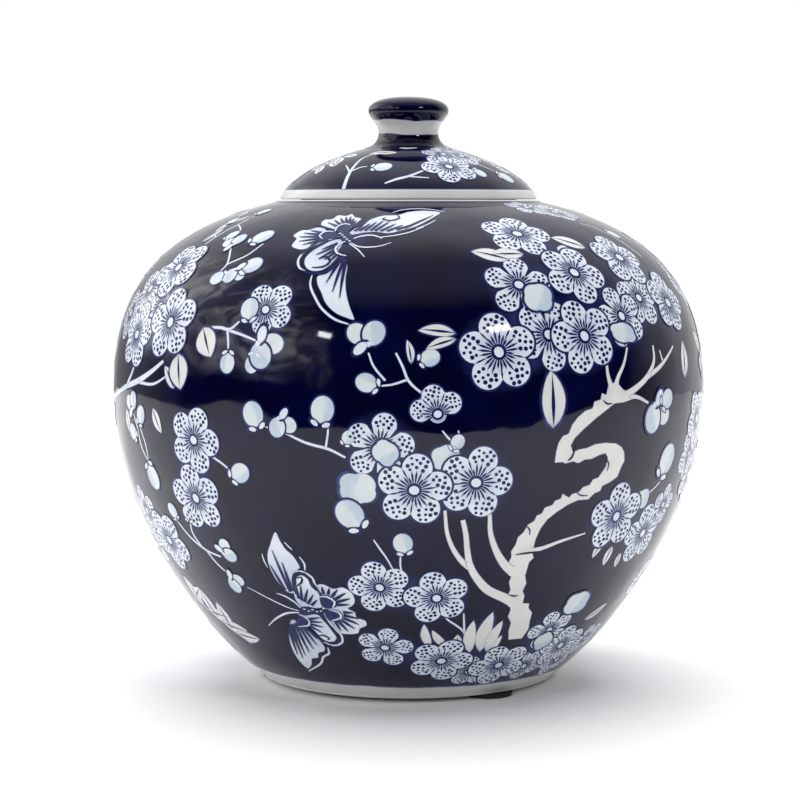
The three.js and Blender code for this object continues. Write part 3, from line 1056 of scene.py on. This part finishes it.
def left_sprays(side, around):
    """Flowers and buds on the left: a spray on the shoulder, and one hanging below it."""
    spray = Spray(f"left_sprays_{side}", around)
    for points in (
        [(-76, 129, 1.6), (-68, 133.5, 2.2), (-60, 137.5, 2.6), (-55, 141.5, 2.2), (-51, 146, 1.6)],
        [(-66, 134.5, 2.0), (-63, 141, 1.6), (-61, 149, 1.1)],
        [(-60, 137, 1.6), (-54, 137, 1.3), (-49, 141, 0.9)],
        [(-53, 84, 0.9), (-50, 77, 1.2), (-46, 72, 1.3), (-42, 70, 1.0)],
        [(-48, 84, 0.9), (-48.5, 79, 1.1), (-47, 73, 1.2)],
        [(-41, 61, 0.9), (-44, 66, 1.0), (-46, 72, 1.1)],
        [(-58, 106, 0.8), (-58, 113, 1.0), (-60, 121, 1.0)],
        [(-63, 126, 0.8), (-61, 120, 1.0), (-60, 112, 1.1), (-58, 106, 0.8)],
        [(-33, 106, 0.9), (-36, 110, 1.1), (-39, 113, 1.0)],
    ):
        spray.stroke(points)
    for azimuth, rise, size, over, drawn in (
        (-66, 174, 12, 0, open_flower), (-58.5, 184.5, 14, 2, open_flower),
        (-63.5, 155, 13.5, 1, open_flower),
        (-57, 167, 12, 0, narrow_flower), (-51, 161, 14.5, 2, open_flower), (-72, 163, 11, 0, open_flower),
        (-42, 117.5, 13, 1, open_flower), (-44, 94.5, 13.5, 1, open_flower),
        (-60, 73, 13.5, 1, open_flower),
        (-67, 84, 11, 0, narrow_flower), (-72, 68, 10, 0, narrow_flower),
    ):
        spray.bloom(azimuth, rise, size, over, any_turn(), drawn)
    for azimuth, rise, length, turn in ((-47, 136, 11, -40), (-54, 128, 11, 150), (-66, 126, 10, 170)):
        spray.stamp(broad_leaf, azimuth, rise, length, turn)
    for azimuth, rise, size, turn, drawn in (
        (-57.5, 101, 5.6, 160, round_bud), (-40, 73, 4.6, 70, paired_bud), (-41, 59, 4.6, 130, paired_bud),
        (-32, 106, 4.8, 60, round_bud), (-63, 128, 4.8, -20, paired_bud), (-59, 124, 4.2, 30, round_bud),
        (-63, 117, 4.0, -60, round_bud), (-53, 87, 3.6, -20, round_bud), (-48, 87, 3.4, 10, round_bud),
    ):
        spray.stamp(drawn, azimuth, rise, size, turn, 1)
    spray.finish_sheets()
    return spray.blooms


def lone_twigs(side, around):
    """Loose twigs of buds high on the left shoulder, and a fern leaf low down."""
    twigs = Spray(f"lone_twigs_{side}", around)
    for points in (
        [(-56, 222, 0.7), (-55, 214, 0.9), (-56, 206, 1.0), (-57, 198, 1.0)],
        [(-55, 213, 0.8), (-51, 210, 0.8), (-48, 206, 0.7)],
        [(-57, 203, 0.8), (-60, 208, 0.8), (-62, 214, 0.6)],
        [(-45, 196, 0.8), (-43, 191, 1.0), (-42, 186, 0.9), (-44, 180, 0.7)],
        [(-36, 199, 0.8), (-38, 192, 1.0), (-42, 187, 1.0)],
        [(-34, 184, 0.8), (-37, 181, 1.0), (-41, 182, 0.9)],
        [(-39, 160, 1.1), (-36.5, 160, 1.5), (-34.5, 159.5, 1.3), (-32.5, 163, 0.9)],
        [(-35, 159, 1.2), (-34.4, 155, 1.1), (-34, 150, 0.9)],
        [(-35.5, 159.5, 1.3), (-31.5, 157.6, 1.2), (-28, 155.4, 0.9)],
    ):
        twigs.stroke(points)
    twigs.bloom(-27.5, 167.5, 11.5, 0, 40, leaning_flower)
    for azimuth, rise, size, turn, drawn in (
        (-46, 199.5, 4.8, -35, paired_bud), (-50, 204, 3.4, 20, round_bud),
        (-38.5, 203, 5.2, 35, round_bud),
        (-35, 186.5, 4.8, 60, round_bud), (-38, 183, 4.6, 165, paired_bud),
        (-42, 180.5, 3.8, -110, round_bud),
        (-31, 167, 4.8, -10, round_bud), (-26.6, 153.5, 6.8, 130, paired_bud),
        (-28.6, 147.5, 3.8, 190, round_bud),
        (-34, 147.5, 4.2, 180, round_bud), (-56, 226, 3.4, 0, round_bud),
        (-62, 216, 3.2, -40, round_bud),
    ):
        twigs.stamp(drawn, azimuth, rise, size, turn, 1)
    twigs.stamp(round_leaf, -41, 160, 13, 150, 1)
    twigs.stamp(round_leaf, -46.5, 149.5, 14, 168, 1)
    for azimuth, rise, length, turn in ((-60, 199, 11, 10), (-60, 206, 11, -30), (-61, 213, 10, 20),
                                        (-65, 220, 9, -40),
                                        (-58, 222, 9, 40)):
        twigs.stamp(slim_leaf, azimuth, rise, length, turn)
    twigs.stroke([(-66, 46, 0.7), (-60, 38, 1.2), (-54, 30, 1.4), (-49, 24, 1.0)])
    for azimuth, rise, length, turn in ((-62, 41, 15, -10), (-58, 36, 16, 0), (-54, 31, 15, 8),
                                        (-61, 39, 15, 95),
                                        (-57, 34, 16, 100), (-53, 29, 14, 95), (-64, 45, 12, 60)):
        twigs.stamp(broad_leaf, azimuth, rise, length, turn)
    twigs.finish_sheets()
    return twigs.blooms


def side_spray(side, around):
    """The tree's far branches, which run round the side of the jar to the other half."""
    spray = Spray(f"side_spray_{side}", around)
    for points in (
        [(74, 128, 1.4), (80, 133, 2.2), (86, 135, 2.6), (92, 131, 2.2), (98, 130, 1.8), (104.6, 129, 1.6)],
        [(83, 134, 2.0), (84, 142, 1.5), (87, 150, 1.2)],
        [(90, 133, 2.0), (93, 141, 1.5), (94, 152, 1.1), (92, 164, 1.0), (90, 176, 0.8)],
        [(86, 134, 2.0), (87, 124, 1.6), (90, 114, 1.3), (90, 104, 1.1)],
        [(88, 121, 1.2), (83, 115, 1.0), (80, 108, 0.8)],
        [(84, 78, 0.8), (86, 68, 1.1), (90, 58, 1.3), (90, 46, 1.1)], [(88, 62, 1.0), (82, 54, 0.8)],
        [(84, 205, 0.8), (88, 212, 0.9), (90, 222, 0.8)],
    ):
        spray.stroke(points)
    for azimuth, rise, size, over, drawn in (
        (86, 186, 13.5, 1, open_flower), (96, 180, 12.5, 0, narrow_flower), (79, 177, 12, 0, open_flower),
        (86, 156, 13.5, 1, open_flower), (95, 158, 11.5, 0, leaning_flower), (89, 96, 13.5, 1, open_flower),
        (81, 90, 12, 0, narrow_flower), (96, 86, 12, 0, open_flower), (82, 44, 12, 0, open_flower),
        (92, 36, 12, 1, open_flower),
        (78, 24, 11, 0, narrow_flower), (71, 121, 12, 1, open_flower), (69, 107, 11.5, 0, open_flower),
        (73, 98, 11.5, 1, narrow_flower), (100, 18, 11.5, 1, open_flower),
        (88, 14, 10, 0, leaning_flower), (72, 52, 11, 0, open_flower),
    ):
        spray.bloom(azimuth, rise, size, over, any_turn(), drawn)
    for azimuth, rise, size, turn, drawn in (
        (79, 106, 4.8, -30, round_bud), (100, 122, 4.8, 120, paired_bud), (82, 202, 4.4, -60, round_bud),
        (91, 225, 4.2, 10, paired_bud), (96, 142, 4.6, 60, round_bud), (81, 56, 4.4, -50, round_bud),
        (100, 62, 5.4, 40, paired_bud),
        (77, 142, 4.8, -30, paired_bud),
    ):
        spray.stamp(drawn, azimuth, rise, size, turn, 1)
    for azimuth, rise, length, turn in ((92, 122, 17, 160), (78, 146, 14, -50), (96, 196, 13, 40),
                                        (86, 60, 14, 160), (97, 48, 12, 60)):
        spray.stamp(broad_leaf, azimuth, rise, length, turn)
    spray.finish_sheets()
    return spray.blooms


def wing_ray(fly, start, end):
    """A line drawn out along a wing, tapering, from start to end in azimuth and rise."""
    middle = ((start[0] + end[0]) / 2, (start[1] + end[1]) / 2)
    fly.stroke([(*start, 1.3), (*middle, 1.15), (*end, 0.35)], LINE, 2)


def upper_butterfly(side, around):
    """A butterfly on the shoulder, seen from the side, its long wings spread right and down."""
    fly = Spray(f"upper_butterfly_{side}", around)
    root = (-15, 203)
    fly.cut([(-15, 205), (-14, 210), (-12, 213.5), (-11, 218), (-8, 222), (-5.5, 222.5), (-3, 223),
             (0, 226.5), (5, 228), (10, 226), (8, 221.5), (5, 216.5), (2, 212), (-2, 208.5), (-5, 206.5),
             (-8, 207.5),
             (-11, 207)],
            wash=(*root, 26))
    fly.cut([(-16, 206), (-18.5, 209), (-22, 211), (-24.5, 214), (-24.5, 218), (-22.4, 218.6),
             (-21.8, 222.5),
             (-19, 222), (-17.6, 224), (-15.8, 220.6), (-13.6, 219), (-14.6, 213), (-15, 208)],
             wash=(*root, 19))
    fly.cut([(-17, 204.5), (-20, 207), (-22.5, 210.5), (-24.6, 211), (-26.4, 209), (-28.4, 208.6),
             (-29.4, 204.6), (-27.8, 202.4), (-27.6, 197.6), (-24.6, 195.6), (-22.4, 197.4),
             (-20.8, 200.6),
             (-18.6, 202.6)],
            wash=(*root, 22))
    fly.cut([(-16, 202.4), (-18.2, 201.4), (-20.2, 198), (-21.8, 194.6), (-22.6, 190.6), (-21.8, 186.6),
             (-20, 184.4),
             (-17.8, 184.8), (-16.2, 187.6), (-15.2, 190.6), (-15.6, 195), (-15.2, 199)], wash=(*root, 22))
    fly.cut([(-18.4, 182), (-18, 178.4), (-16.8, 174.6), (-15.6, 170.4), (-13.6, 166.8), (-11.6, 165),
             (-9.8, 164.2), (-10.8, 169), (-11.8, 174.6), (-12.4, 181), (-12.6, 187), (-13.6, 190),
             (-15.4, 186.4),
             (-16.6, 183.4)],
            wash=(-14, 194, 17))
    for points in (
        [(-5, 225.4, 0.5), (-2, 228.6, 0.9), (3, 230.2, 1.0), (8, 229, 0.9), (11.5, 226, 0.5)],
        [(-19.6, 183, 0.5), (-19.4, 178, 1.0), (-17.8, 172.6, 1.1), (-16, 168, 1.1), (-13.4, 164.2, 1.1),
         (-10.4, 162.2, 0.6)],
        [(-20.6, 183.4, 0.7), (-23, 186, 1.0), (-24, 190.6, 1.1), (-23, 195.6, 1.1), (-20.8, 200, 1.1),
         (-17.4, 203.4, 0.8)],
        [(4, 211.4, 0.5), (0, 207, 0.8), (-4, 204.6, 0.8), (-7, 203.6, 0.5)],
        [(7.6, 217.4, 0.5), (4.4, 212.6, 0.7), (2, 210, 0.5)],
        [(-14, 201.6, 0.5), (-11.4, 204.4, 1.0), (-8.6, 205, 1.0), (-6.2, 202.8, 0.6)],
    ):
        fly.stroke(points, over=1)
    for points in (
        [(-18.6, 207.4, 0.4), (-18.8, 211.4, 0.9), (-17.2, 213.8, 1.0), (-15.6, 212.6, 0.5)],
        [(-20.6, 202, 0.4), (-22, 204.4, 0.9), (-21.2, 207.4, 1.0), (-19, 207.4, 0.5)],
        [(-13.4, 192, 0.5), (-15.6, 193.4, 0.9), (-16.4, 197, 1.0), (-14.8, 200.6, 0.6)],
    ):
        fly.stroke(points, over=3)
    for start, end in (
        ((-17.6, 210.6), (-22.6, 215)), ((-17.4, 211.6), (-21.4, 217.6)), ((-17, 212.6), (-20, 219.4)),
        ((-16.6, 213), (-18.6, 220.6)), ((-16.2, 213), (-17.2, 221)), ((-15.8, 212.8), (-15.8, 219)),
        ((-15.2, 212), (-14.8, 217)), ((-20.4, 206), (-25.6, 208.4)), ((-20.8, 205), (-27, 206.4)),
        ((-20.8, 204), (-27.4, 203.6)), ((-20.6, 203), (-26.6, 200.6)), ((-20, 202.4), (-25, 198.4)),
        ((-19.2, 202), (-23, 198.4)), ((-13.6, 208), (-12, 212.6)), ((-12.4, 208.2), (-10.4, 214)),
        ((-11, 208.4), (-8.8, 215.6)), ((-9.6, 208.4), (-7, 216.6)), ((-8.4, 208.2), (-5.2, 216)),
        ((-7, 208), (-3.4, 214)), ((-5.4, 208), (-1.4, 213)), ((-3, 209), (1.6, 214)),
        ((-1, 210.4), (7.6, 222.6)), ((-16.4, 199.6), (-19.6, 195.6)), ((-16.2, 198), (-20.4, 192.6)),
        ((-16, 196.4), (-19.4, 190.4)), ((-15.8, 194.8), (-18, 190)), ((-15.4, 193.4), (-16.8, 189)),
        ((-14, 192), (-16.2, 179)), ((-13.6, 191), (-14.6, 175)), ((-13.2, 190), (-13, 172.6)),
        ((-14.8, 191.6), (-17.2, 182.6)),
    ):
        wing_ray(fly, start, end)
    for points in (
        [(-3.4, 222.6, 0.4), (-2.6, 219.6, 0.9), (-4.8, 217, 1.0), (-7.4, 218.4, 0.8), (-6.6, 220, 0.4)],
        [(-20.2, 186, 0.4), (-17.8, 186.4, 0.9), (-16.6, 189, 1.0), (-17.8, 191.6, 0.9),
         (-19.4, 190.4, 0.5)],
        [(-14.8, 206, 0.4), (-19.6, 209, 1.1), (-24.4, 212.4, 1.0), (-25.6, 213.6, 0.5)],
        [(-12.6, 213.6, 0.4), (-14.6, 211, 1.0), (-15.6, 207, 1.0), (-15.4, 204, 0.6)],
        [(-16, 203.8, 0.5), (-20.4, 201.6, 1.2), (-22.8, 196.4, 1.1), (-23.8, 192.6, 0.5)],
        [(-22.6, 184.6, 0.5), (-19.4, 183, 1.4), (-16.4, 184.4, 1.2), (-14, 190.6, 0.8)],
        [(-17.4, 206.6, 0.8), (-15.6, 203.4, 2.2), (-13.6, 200, 0.8)],
    ):
        fly.stroke(points, LINE, 2)
    for patch in ([(-18.2, 207.8), (-18.6, 211), (-17.2, 213.4), (-15.4, 212.6), (-15.2, 208.4),
                   (-16.4, 206.6)],
                  [(-20.2, 202.4), (-21.8, 204.4), (-21, 207.2), (-18.8, 207.2), (-17, 205.4),
                   (-18.4, 203)],
                  [(-17.4, 206.4), (-14.8, 206.6), (-13.4, 203.6), (-13, 200.8), (-14.4, 199.4),
                   (-16.4, 202.6)]):
        fly.cut(patch, LINE, 2)
    fly.stroke([(-13.8, 200.4, 0.5), (-11, 197.4, 0.8), (-7, 197.6, 0.7), (-4, 200, 0.4)], over=1)
    fly.stroke([(-13.8, 199.6, 0.5), (-11.4, 196, 0.7), (-9.4, 191.6, 0.4)], over=1)
    for azimuth, rise in ((-17, 206), (-16.2, 204.8), (-15.4, 203.4), (-14.6, 202), (-13.8, 200.8)):
        fly.stroke([(azimuth - 0.35, rise, 0.5), (azimuth, rise, 0.8), (azimuth + 0.35, rise, 0.5)], over=3)
    fly.blooms.append((-17 + around, 205, 12))
    fly.finish_sheets()
    return fly.blooms


def lower_butterfly(side, around):
    """A butterfly low on the left, flying left, with long forewings and scalloped hindwings."""
    fly = Spray(f"lower_butterfly_{side}", around)
    root = (-24.5, 48)
    fly.cut([(-26.2, 83.6), (-25.4, 79.6), (-24.6, 76.4), (-23.4, 74), (-22.6, 70.6), (-22.4, 68.6),
             (-23.6, 66.6), (-24.2, 64), (-24.6, 60.6), (-25.2, 56.6), (-27, 56.6), (-28.8, 61.6),
             (-29.6, 68.6), (-29.2, 73.6),
             (-28, 78)], wash=(*root, 27))
    fly.cut([(-24.6, 49.6), (-25.6, 54), (-25.2, 58.6), (-24.2, 61), (-23.8, 64), (-22.4, 65.4),
             (-21.2, 63.6),
             (-20.8, 60.4), (-19.6, 57.4), (-19.2, 54), (-19.4, 50.4), (-22, 49.6)], over=1,
             wash=(*root, 15))
    fly.cut([(-26.4, 45), (-23.6, 46.6), (-21, 46.4), (-20.4, 44.6), (-19.4, 41.6), (-18.6, 38), (-18, 35),
             (-18.8, 32.6), (-20.8, 32), (-22.4, 34), (-23.4, 37.6), (-25.2, 41.6)], over=1,
             wash=(*root, 15))
    fly.cut([(-28.6, 42.6), (-26.2, 39.6), (-24.2, 36.4), (-22.8, 32.6), (-22.2, 29), (-23, 26),
             (-25, 24.6), (-25.8, 21.6), (-28, 20.6), (-29.4, 16.6), (-31.8, 13.6), (-33.2, 18),
             (-33.2, 25),
             (-31.6, 34)],
            wash=(*root, 30))
    fly.cut([(-19.6, 54), (-19.8, 60.4), (-18, 61.6), (-16, 59.8), (-13.8, 60.6), (-12, 58),
             (-11.6, 54.4), (-12.2, 52), (-13.4, 50.4), (-12, 48.6), (-11.8, 46), (-10, 44.6),
             (-9.8, 42), (-11.6, 40), (-12.2, 37.6), (-14.6, 36.8),
             (-17.2, 37.4), (-17.8, 41), (-19, 45)], wash=(-20, 49, 15))
    for points in (
        [(-24.6, 79.6, 0.4), (-23.8, 77.6, 0.7), (-23.2, 76.4, 0.4)],
        [(-30.4, 73.6, 0.4), (-30.4, 70.6, 0.7), (-30, 67.6, 0.4)],
        [(-22, 73.6, 0.4), (-21.2, 70.6, 1.0), (-21.4, 67.6, 0.5)],
        [(-25, 62.6, 0.5), (-24.4, 66, 1.0), (-22.2, 67, 1.1), (-20.2, 64.6, 1.1), (-19.8, 61, 1.1),
         (-18.6, 57.4, 1.1),
         (-18.4, 53, 1.1), (-19.4, 49.4, 0.7)],
        [(-19.4, 47.4, 0.5), (-18.8, 43.4, 1.1), (-17.8, 39.6, 1.1), (-16.6, 36, 1.1), (-17, 32, 1.1),
         (-19.4, 30, 1.1),
         (-22, 31.6, 0.6)],
        [(-21.4, 28.6, 0.5), (-21.8, 25, 1.1), (-24, 22.6, 1.1), (-25.6, 18.6, 1.1), (-28.4, 15.4, 1.0),
         (-32, 12, 0.6)],
        [(-30, 55.6, 0.4), (-28, 54.6, 0.9), (-25.8, 51.6, 0.9), (-24.8, 48.6, 0.6)],
        [(-25, 47.4, 0.4), (-28.4, 49, 0.7), (-32, 52, 0.7), (-37.6, 57, 0.4)],
        [(-25.4, 46.8, 0.5), (-29, 46, 1.1), (-33, 42.4, 0.9), (-36.8, 37.6, 0.4)],
    ):
        fly.stroke(points, over=1)
    for points in (
        [(-19.4, 55.6, 0.4), (-17.8, 56, 1.0), (-16.2, 53.6, 1.1), (-17, 50.6, 0.5)],
        [(-18, 49.6, 0.4), (-15.8, 48.4, 1.0), (-15.6, 45.6, 1.1), (-18, 44, 0.5)],
        [(-26, 46.2, 0.4), (-24, 43.8, 0.8), (-24.4, 40.6, 0.9), (-27.4, 39.4, 0.5)],
    ):
        fly.stroke(points, over=3)
    for start, end in (
        ((-26.2, 57), (-27.8, 75.6)), ((-25.6, 57.4), (-26.2, 70.6)), ((-27.4, 57.6), (-29.2, 69)),
        ((-24.6, 54), (-24.4, 60.4)), ((-24, 53), (-23.2, 60.6)), ((-23.4, 52.4), (-21.8, 59)),
        ((-22.8, 51.6), (-20.8, 56.4)), ((-22, 51), (-20.2, 54)), ((-24.2, 43.6), (-20.8, 45)),
        ((-24.4, 42.6), (-20.6, 42.6)), ((-24.6, 41.6), (-20.6, 40)), ((-24.8, 41), (-21.4, 37)),
        ((-25.6, 40.6), (-23.6, 33)), ((-26.4, 40.4), (-24.4, 29.6)), ((-27.2, 40.4), (-26, 27)),
        ((-28, 40.4), (-27.8, 24.6)), ((-28.8, 40.4), (-29.6, 22.6)), ((-29.6, 40), (-31, 20.6)),
        ((-30.4, 38.6), (-32.2, 22.6)), ((-18.4, 57), (-18.4, 60.6)), ((-17.4, 56.8), (-16.8, 60)),
        ((-16.6, 56), (-15, 59.6)), ((-16, 54.8), (-13.4, 58)), ((-15.8, 53.4), (-12.6, 55.4)),
        ((-15.8, 52), (-13, 52.4)), ((-14.8, 48.4), (-12.4, 48.4)), ((-14.8, 47), (-11.4, 45.4)),
        ((-15, 45.6), (-11.6, 42.4)), ((-15.6, 44.4), (-12.8, 40)), ((-16.4, 43.8), (-14.6, 38.4)),
        ((-17.2, 43.4), (-16.4, 38.6)),
    ):
        wing_ray(fly, start, end)
    for points in (
        [(-24.6, 59.6, 0.4), (-22.8, 62, 1.0), (-22.6, 64.4, 0.8), (-24, 63.6, 0.4)],
        [(-22.8, 35, 0.4), (-21.4, 35.6, 0.9), (-20, 34, 0.9), (-20.8, 33, 0.4)],
        [(-25.2, 48.6, 0.8), (-22.6, 48.6, 2.2), (-19.8, 48.2, 1.2)],
        [(-25, 56, 0.5), (-24.8, 62, 1.1), (-23.8, 66, 1.0), (-21.6, 66, 0.9), (-20.4, 62, 0.9),
         (-19.2, 57.6, 0.9), (-19, 52, 0.9)],
        [(-28.2, 41.2, 0.5), (-24.8, 37.6, 1.0), (-22.6, 32.4, 1.0), (-22, 28.6, 0.6)],
        [(-19.6, 46.4, 0.5), (-19.2, 42.4, 0.9), (-17.6, 37, 0.9), (-17.8, 33, 0.9), (-20.6, 31, 0.7)],
    ):
        fly.stroke(points, LINE, 2)
    for patch in ([(-19.4, 56), (-17.6, 56.6), (-16, 54.6), (-15.8, 51.6), (-17.4, 50.2), (-19.4, 50.8)],
                  [(-19, 49.6), (-15.8, 49), (-15, 46.6), (-16, 44), (-18.4, 43.6), (-19.2, 46)],
                  [(-25.8, 47), (-24.4, 50), (-21.8, 50), (-20.4, 48.4), (-21.8, 46.8), (-24.4, 45.6)],
                  [(-27.6, 39.8), (-24.6, 41.2), (-24.2, 43.6), (-25.8, 45.6), (-27, 43.4)]):
        fly.cut(patch, LINE, 2)
    for azimuth, rise in ((-24, 49), (-23, 48.2), (-22, 49), (-21, 48.2), (-20, 48.6)):
        fly.stroke([(azimuth - 0.3, rise, 0.4), (azimuth, rise, 0.8), (azimuth + 0.3, rise, 0.4)], over=3)
    fly.blooms.append((-20 + around, 48, 12))
    fly.finish_sheets()
    return fly.blooms


for side, around in (("front", 0.0), ("back", 180.0)):
    for paint_part in (tree_trunk, shoulder_spray, lower_flowers, bud_twigs, left_sprays, lone_twigs,
                       side_spray, upper_butterfly, lower_butterfly):
        blooms += paint_part(side, around)

# The cobalt is thinner round the flowers, where the brush has wetted it.


def wet_round(piece, skin, blooms):
    """How thin the cobalt is at each vertex: a little round a flower, most between flowers."""
    places = vertices_of(piece)
    wetness = np.zeros(len(places))
    for azimuth, rise, size in blooms:
        middle, _ = skin.at(np.array([math.radians(azimuth)]), np.array([rise * mm]))
        away = np.linalg.norm(places - middle, axis=1) / mm
        wetness += np.clip(1 - (away - 0.8 * size) / 6, 0, 1)
    attribute(piece.data, "halo", np.clip(wetness - 0.5, 0, 1))


wet_round(jar, body_skin, blooms)

# ---------------------------------------------------------------------------------------------
# Painting on the lid: a spray of blossom on the right and a leafy twig on the left of each half.
# ---------------------------------------------------------------------------------------------
lid_blooms = []
for side, around in (("front", 0.0), ("back", 180.0)):
    spray = Spray(f"lid_spray_{side}", around, lid_skin, "lid", "lid_glaze")
    for points in (
        [(-30, 0.5, 1.8), (-32, 8, 1.7), (-34, 16, 1.4), (-35, 24, 1.0), (-28, 31, 0.8)],
        [(-32, 12, 1.0), (-29, 14.5, 0.9), (-25, 15.5, 0.6)],
        [(-33, 11, 1.0), (-37, 14, 0.9), (-41, 16.5, 0.6)],
        [(-11, 3.5, 0.8), (-6, 6, 1.6), (0, 8, 1.5), (6, 11, 1.2), (12, 14, 0.8)],
        [(-1, 8, 1.0), (5, 7.4, 0.9), (10, 7, 0.6)], [(46, 20, 0.7), (52, 15, 0.8), (57, 10, 0.7)],
    ):
        spray.stroke(points)
    for azimuth, rise, length, turn in ((-50, 16, 9, -60), (-52, 17, 10, -35), (-46, 26, 9, -80),
                                        (-58, 10, 9, -40), (-36, 28, 9, 60), (-30, 30, 9, 85),
                                        (-64, 19, 9, -70),
                                        (-12, 36, 8, 70)):
        spray.stamp(broad_leaf, azimuth, rise, length, turn)
    for azimuth, rise, size, over, drawn in (
        (31, 28, 9, 0, narrow_flower), (47, 26, 9, 0, open_flower), (24, 15, 11.5, 1, open_flower),
        (50, 35, 6, 0, narrow_flower),
        (-75, 20, 9, 0, open_flower), (78, 17, 10, 0, open_flower), (92, 9, 9, 1, leaning_flower),
    ):
        spray.bloom(azimuth, rise, size, over, any_turn(), drawn)
    for azimuth, rise, size, turn in ((-16, 15, 4.2, 80), (59, 8, 4.2, 120), (41, 11, 3.2, 150),
                                      (-90, 12, 4, 40)):
        spray.stamp(round_bud, azimuth, rise, size, turn)
    lid_blooms += spray.blooms
    spray.finish_sheets()
wet_round(lid, lid_skin, lid_blooms)
wet_round(knob, lid_skin, [])

# ---------------------------------------------------------------------------------------------
# Studio. A plain white floor, white all round the back, and soft lamps above and to the sides.
# ---------------------------------------------------------------------------------------------
floor_mesh = bpy.data.meshes.new("floor")
floor_mesh.from_pydata([(-1.6, -0.69, 0), (1.6, -0.69, 0), (1.6, 1.4, 0), (-1.6, 1.4, 0)], [],
                       [(0, 1, 2, 3)])
floor = bpy.data.objects.new("floor", floor_mesh)
bpy.context.collection.objects.link(floor)
paper = Nodes("white_paper")
paper.shader.inputs["Roughness"].default_value = 0.9
grain = paper.noise(300, 3.0)
paper.feed(paper.shader.inputs["Base Color"],
           paper.mix(grain, (0.90, 0.90, 0.90, 1), (0.93, 0.93, 0.93, 1)))
floor.data.materials.append(paper.material)

world = bpy.data.worlds.new("studio")
world.use_nodes = True
tree = world.node_tree
sky = tree.nodes["Background"]
seen = tree.nodes.new("ShaderNodeBackground")
seen.inputs["Color"].default_value = (1, 1, 1, 1)


def sky_node(kind, inputs):
    """A node of the studio's light, fed from other nodes or with plain values."""
    node = tree.nodes.new("ShaderNode" + kind)
    for key, value in inputs.items():
        if isinstance(value, bpy.types.NodeSocket):
            tree.links.new(value, node.inputs[key])
        else:
            node.inputs[key].default_value = value
    return node.outputs[0]


def multiplied(first, second):
    product = sky_node("Math", {0: first, 1: second})
    product.node.operation = "MULTIPLY"
    return product


directions = tree.nodes.new("ShaderNodeTexCoord").outputs["Generated"]
way = tree.nodes.new("ShaderNodeSeparateXYZ")
tree.links.new(directions, way.inputs[0])
way = way.outputs
rear = sky_node("MapRange", {0: way["Y"], 1: 0.05, 2: 0.55, 3: 0.0, 4: 0.85})
ceiling = sky_node("MapRange", {0: way["Z"], 1: 0.74, 2: 0.92, 3: 0.0, 4: 0.45})
far_left = sky_node("MapRange", {0: way["X"], 1: -0.12, 2: -0.40, 3: 0.0, 4: 0.6})
level_left = multiplied(far_left, sky_node("MapRange", {0: way["Z"], 1: 0.25, 2: 0.02, 3: 0.0, 4: 1.0}))
rear = multiplied(rear, sky_node("MapRange", {0: level_left, 1: 0.0, 2: 1.0, 3: 1.0, 4: 0.0}))
ripple = tree.nodes.new("ShaderNodeTexNoise")
tree.links.new(directions, ripple.inputs["Vector"])
ripple.inputs["Scale"].default_value = 3.2
ripple.inputs["Distortion"].default_value = 2.4
rippled = sky_node("MapRange", {0: ripple.outputs[0], 1: 0.42, 2: 0.66, 3: 0.35, 4: 2.0})
left_wall = multiplied(sky_node("MapRange", {0: way["X"], 1: -0.45, 2: -0.72, 3: 0.0, 4: 1.5}),
                       sky_node("MapRange", {0: way["Z"], 1: 0.06, 2: 0.22, 3: 0.0, 4: 1.0}))
left_wall = multiplied(left_wall, rippled)
glow = sky_node("Math", {0: sky_node("Math", {0: rear, 1: ceiling}), 1: left_wall})
light_level = sky_node("Math", {0: glow, 1: 0.012})
tree.links.new(light_level, sky.inputs["Strength"])
sky.inputs["Color"].default_value = (1, 1, 1, 1)
path = tree.nodes.new("ShaderNodeLightPath")
mixer = tree.nodes.new("ShaderNodeMixShader")
tree.links.new(path.outputs["Is Camera Ray"], mixer.inputs[0])
tree.links.new(sky.outputs[0], mixer.inputs[1])
tree.links.new(seen.outputs[0], mixer.inputs[2])
tree.links.new(mixer.outputs[0], tree.nodes["World Output"].inputs["Surface"])
bpy.context.scene.world = world


def lamp(name, place, aim, size, watts, mirrored=True):
    """A soft rectangular lamp, aimed at a point."""
    data = bpy.data.lights.new(name, "AREA")
    data.shape = "RECTANGLE"
    data.size, data.size_y = size
    data.energy = watts
    light = bpy.data.objects.new(name, data)
    light.location = place
    away = mathutils.Vector(place) - mathutils.Vector(aim)
    light.rotation_euler = away.to_track_quat("Z", "Y").to_euler()
    light.visible_glossy = mirrored
    light.visible_camera = False
    bpy.context.collection.objects.link(light)


middle = (0, 0, 0.11)
lamp("front_fill", (0.0, -1.7, 0.9), middle, (1.6, 1.0), 3.2, mirrored=False)
lamp("left_fill", (-1.5, -0.9, 0.6), middle, (1.0, 1.0), 3.2, mirrored=False)
lamp("right_fill", (1.5, -0.9, 0.6), middle, (1.0, 1.0), 3.2, mirrored=False)
lamp("top", (0, 0.3, 2.0), (0, 0.3, 0), (2.6, 2.6), 37, mirrored=False)
lamp("back_floor", (0, 1.3, 1.5), (0, 1.0, 0), (3.2, 1.4), 26, mirrored=False)
lamp("left_glint", (-0.60, -0.94, 0.70), middle, (0.11, 0.05), 0.5)
lamp("right_glint", (0.66, -0.84, 0.78), middle, (0.20, 0.07), 1.6)
bpy.context.scene.view_settings.view_transform = "Standard"
bpy.context.scene.view_settings.look = "None"
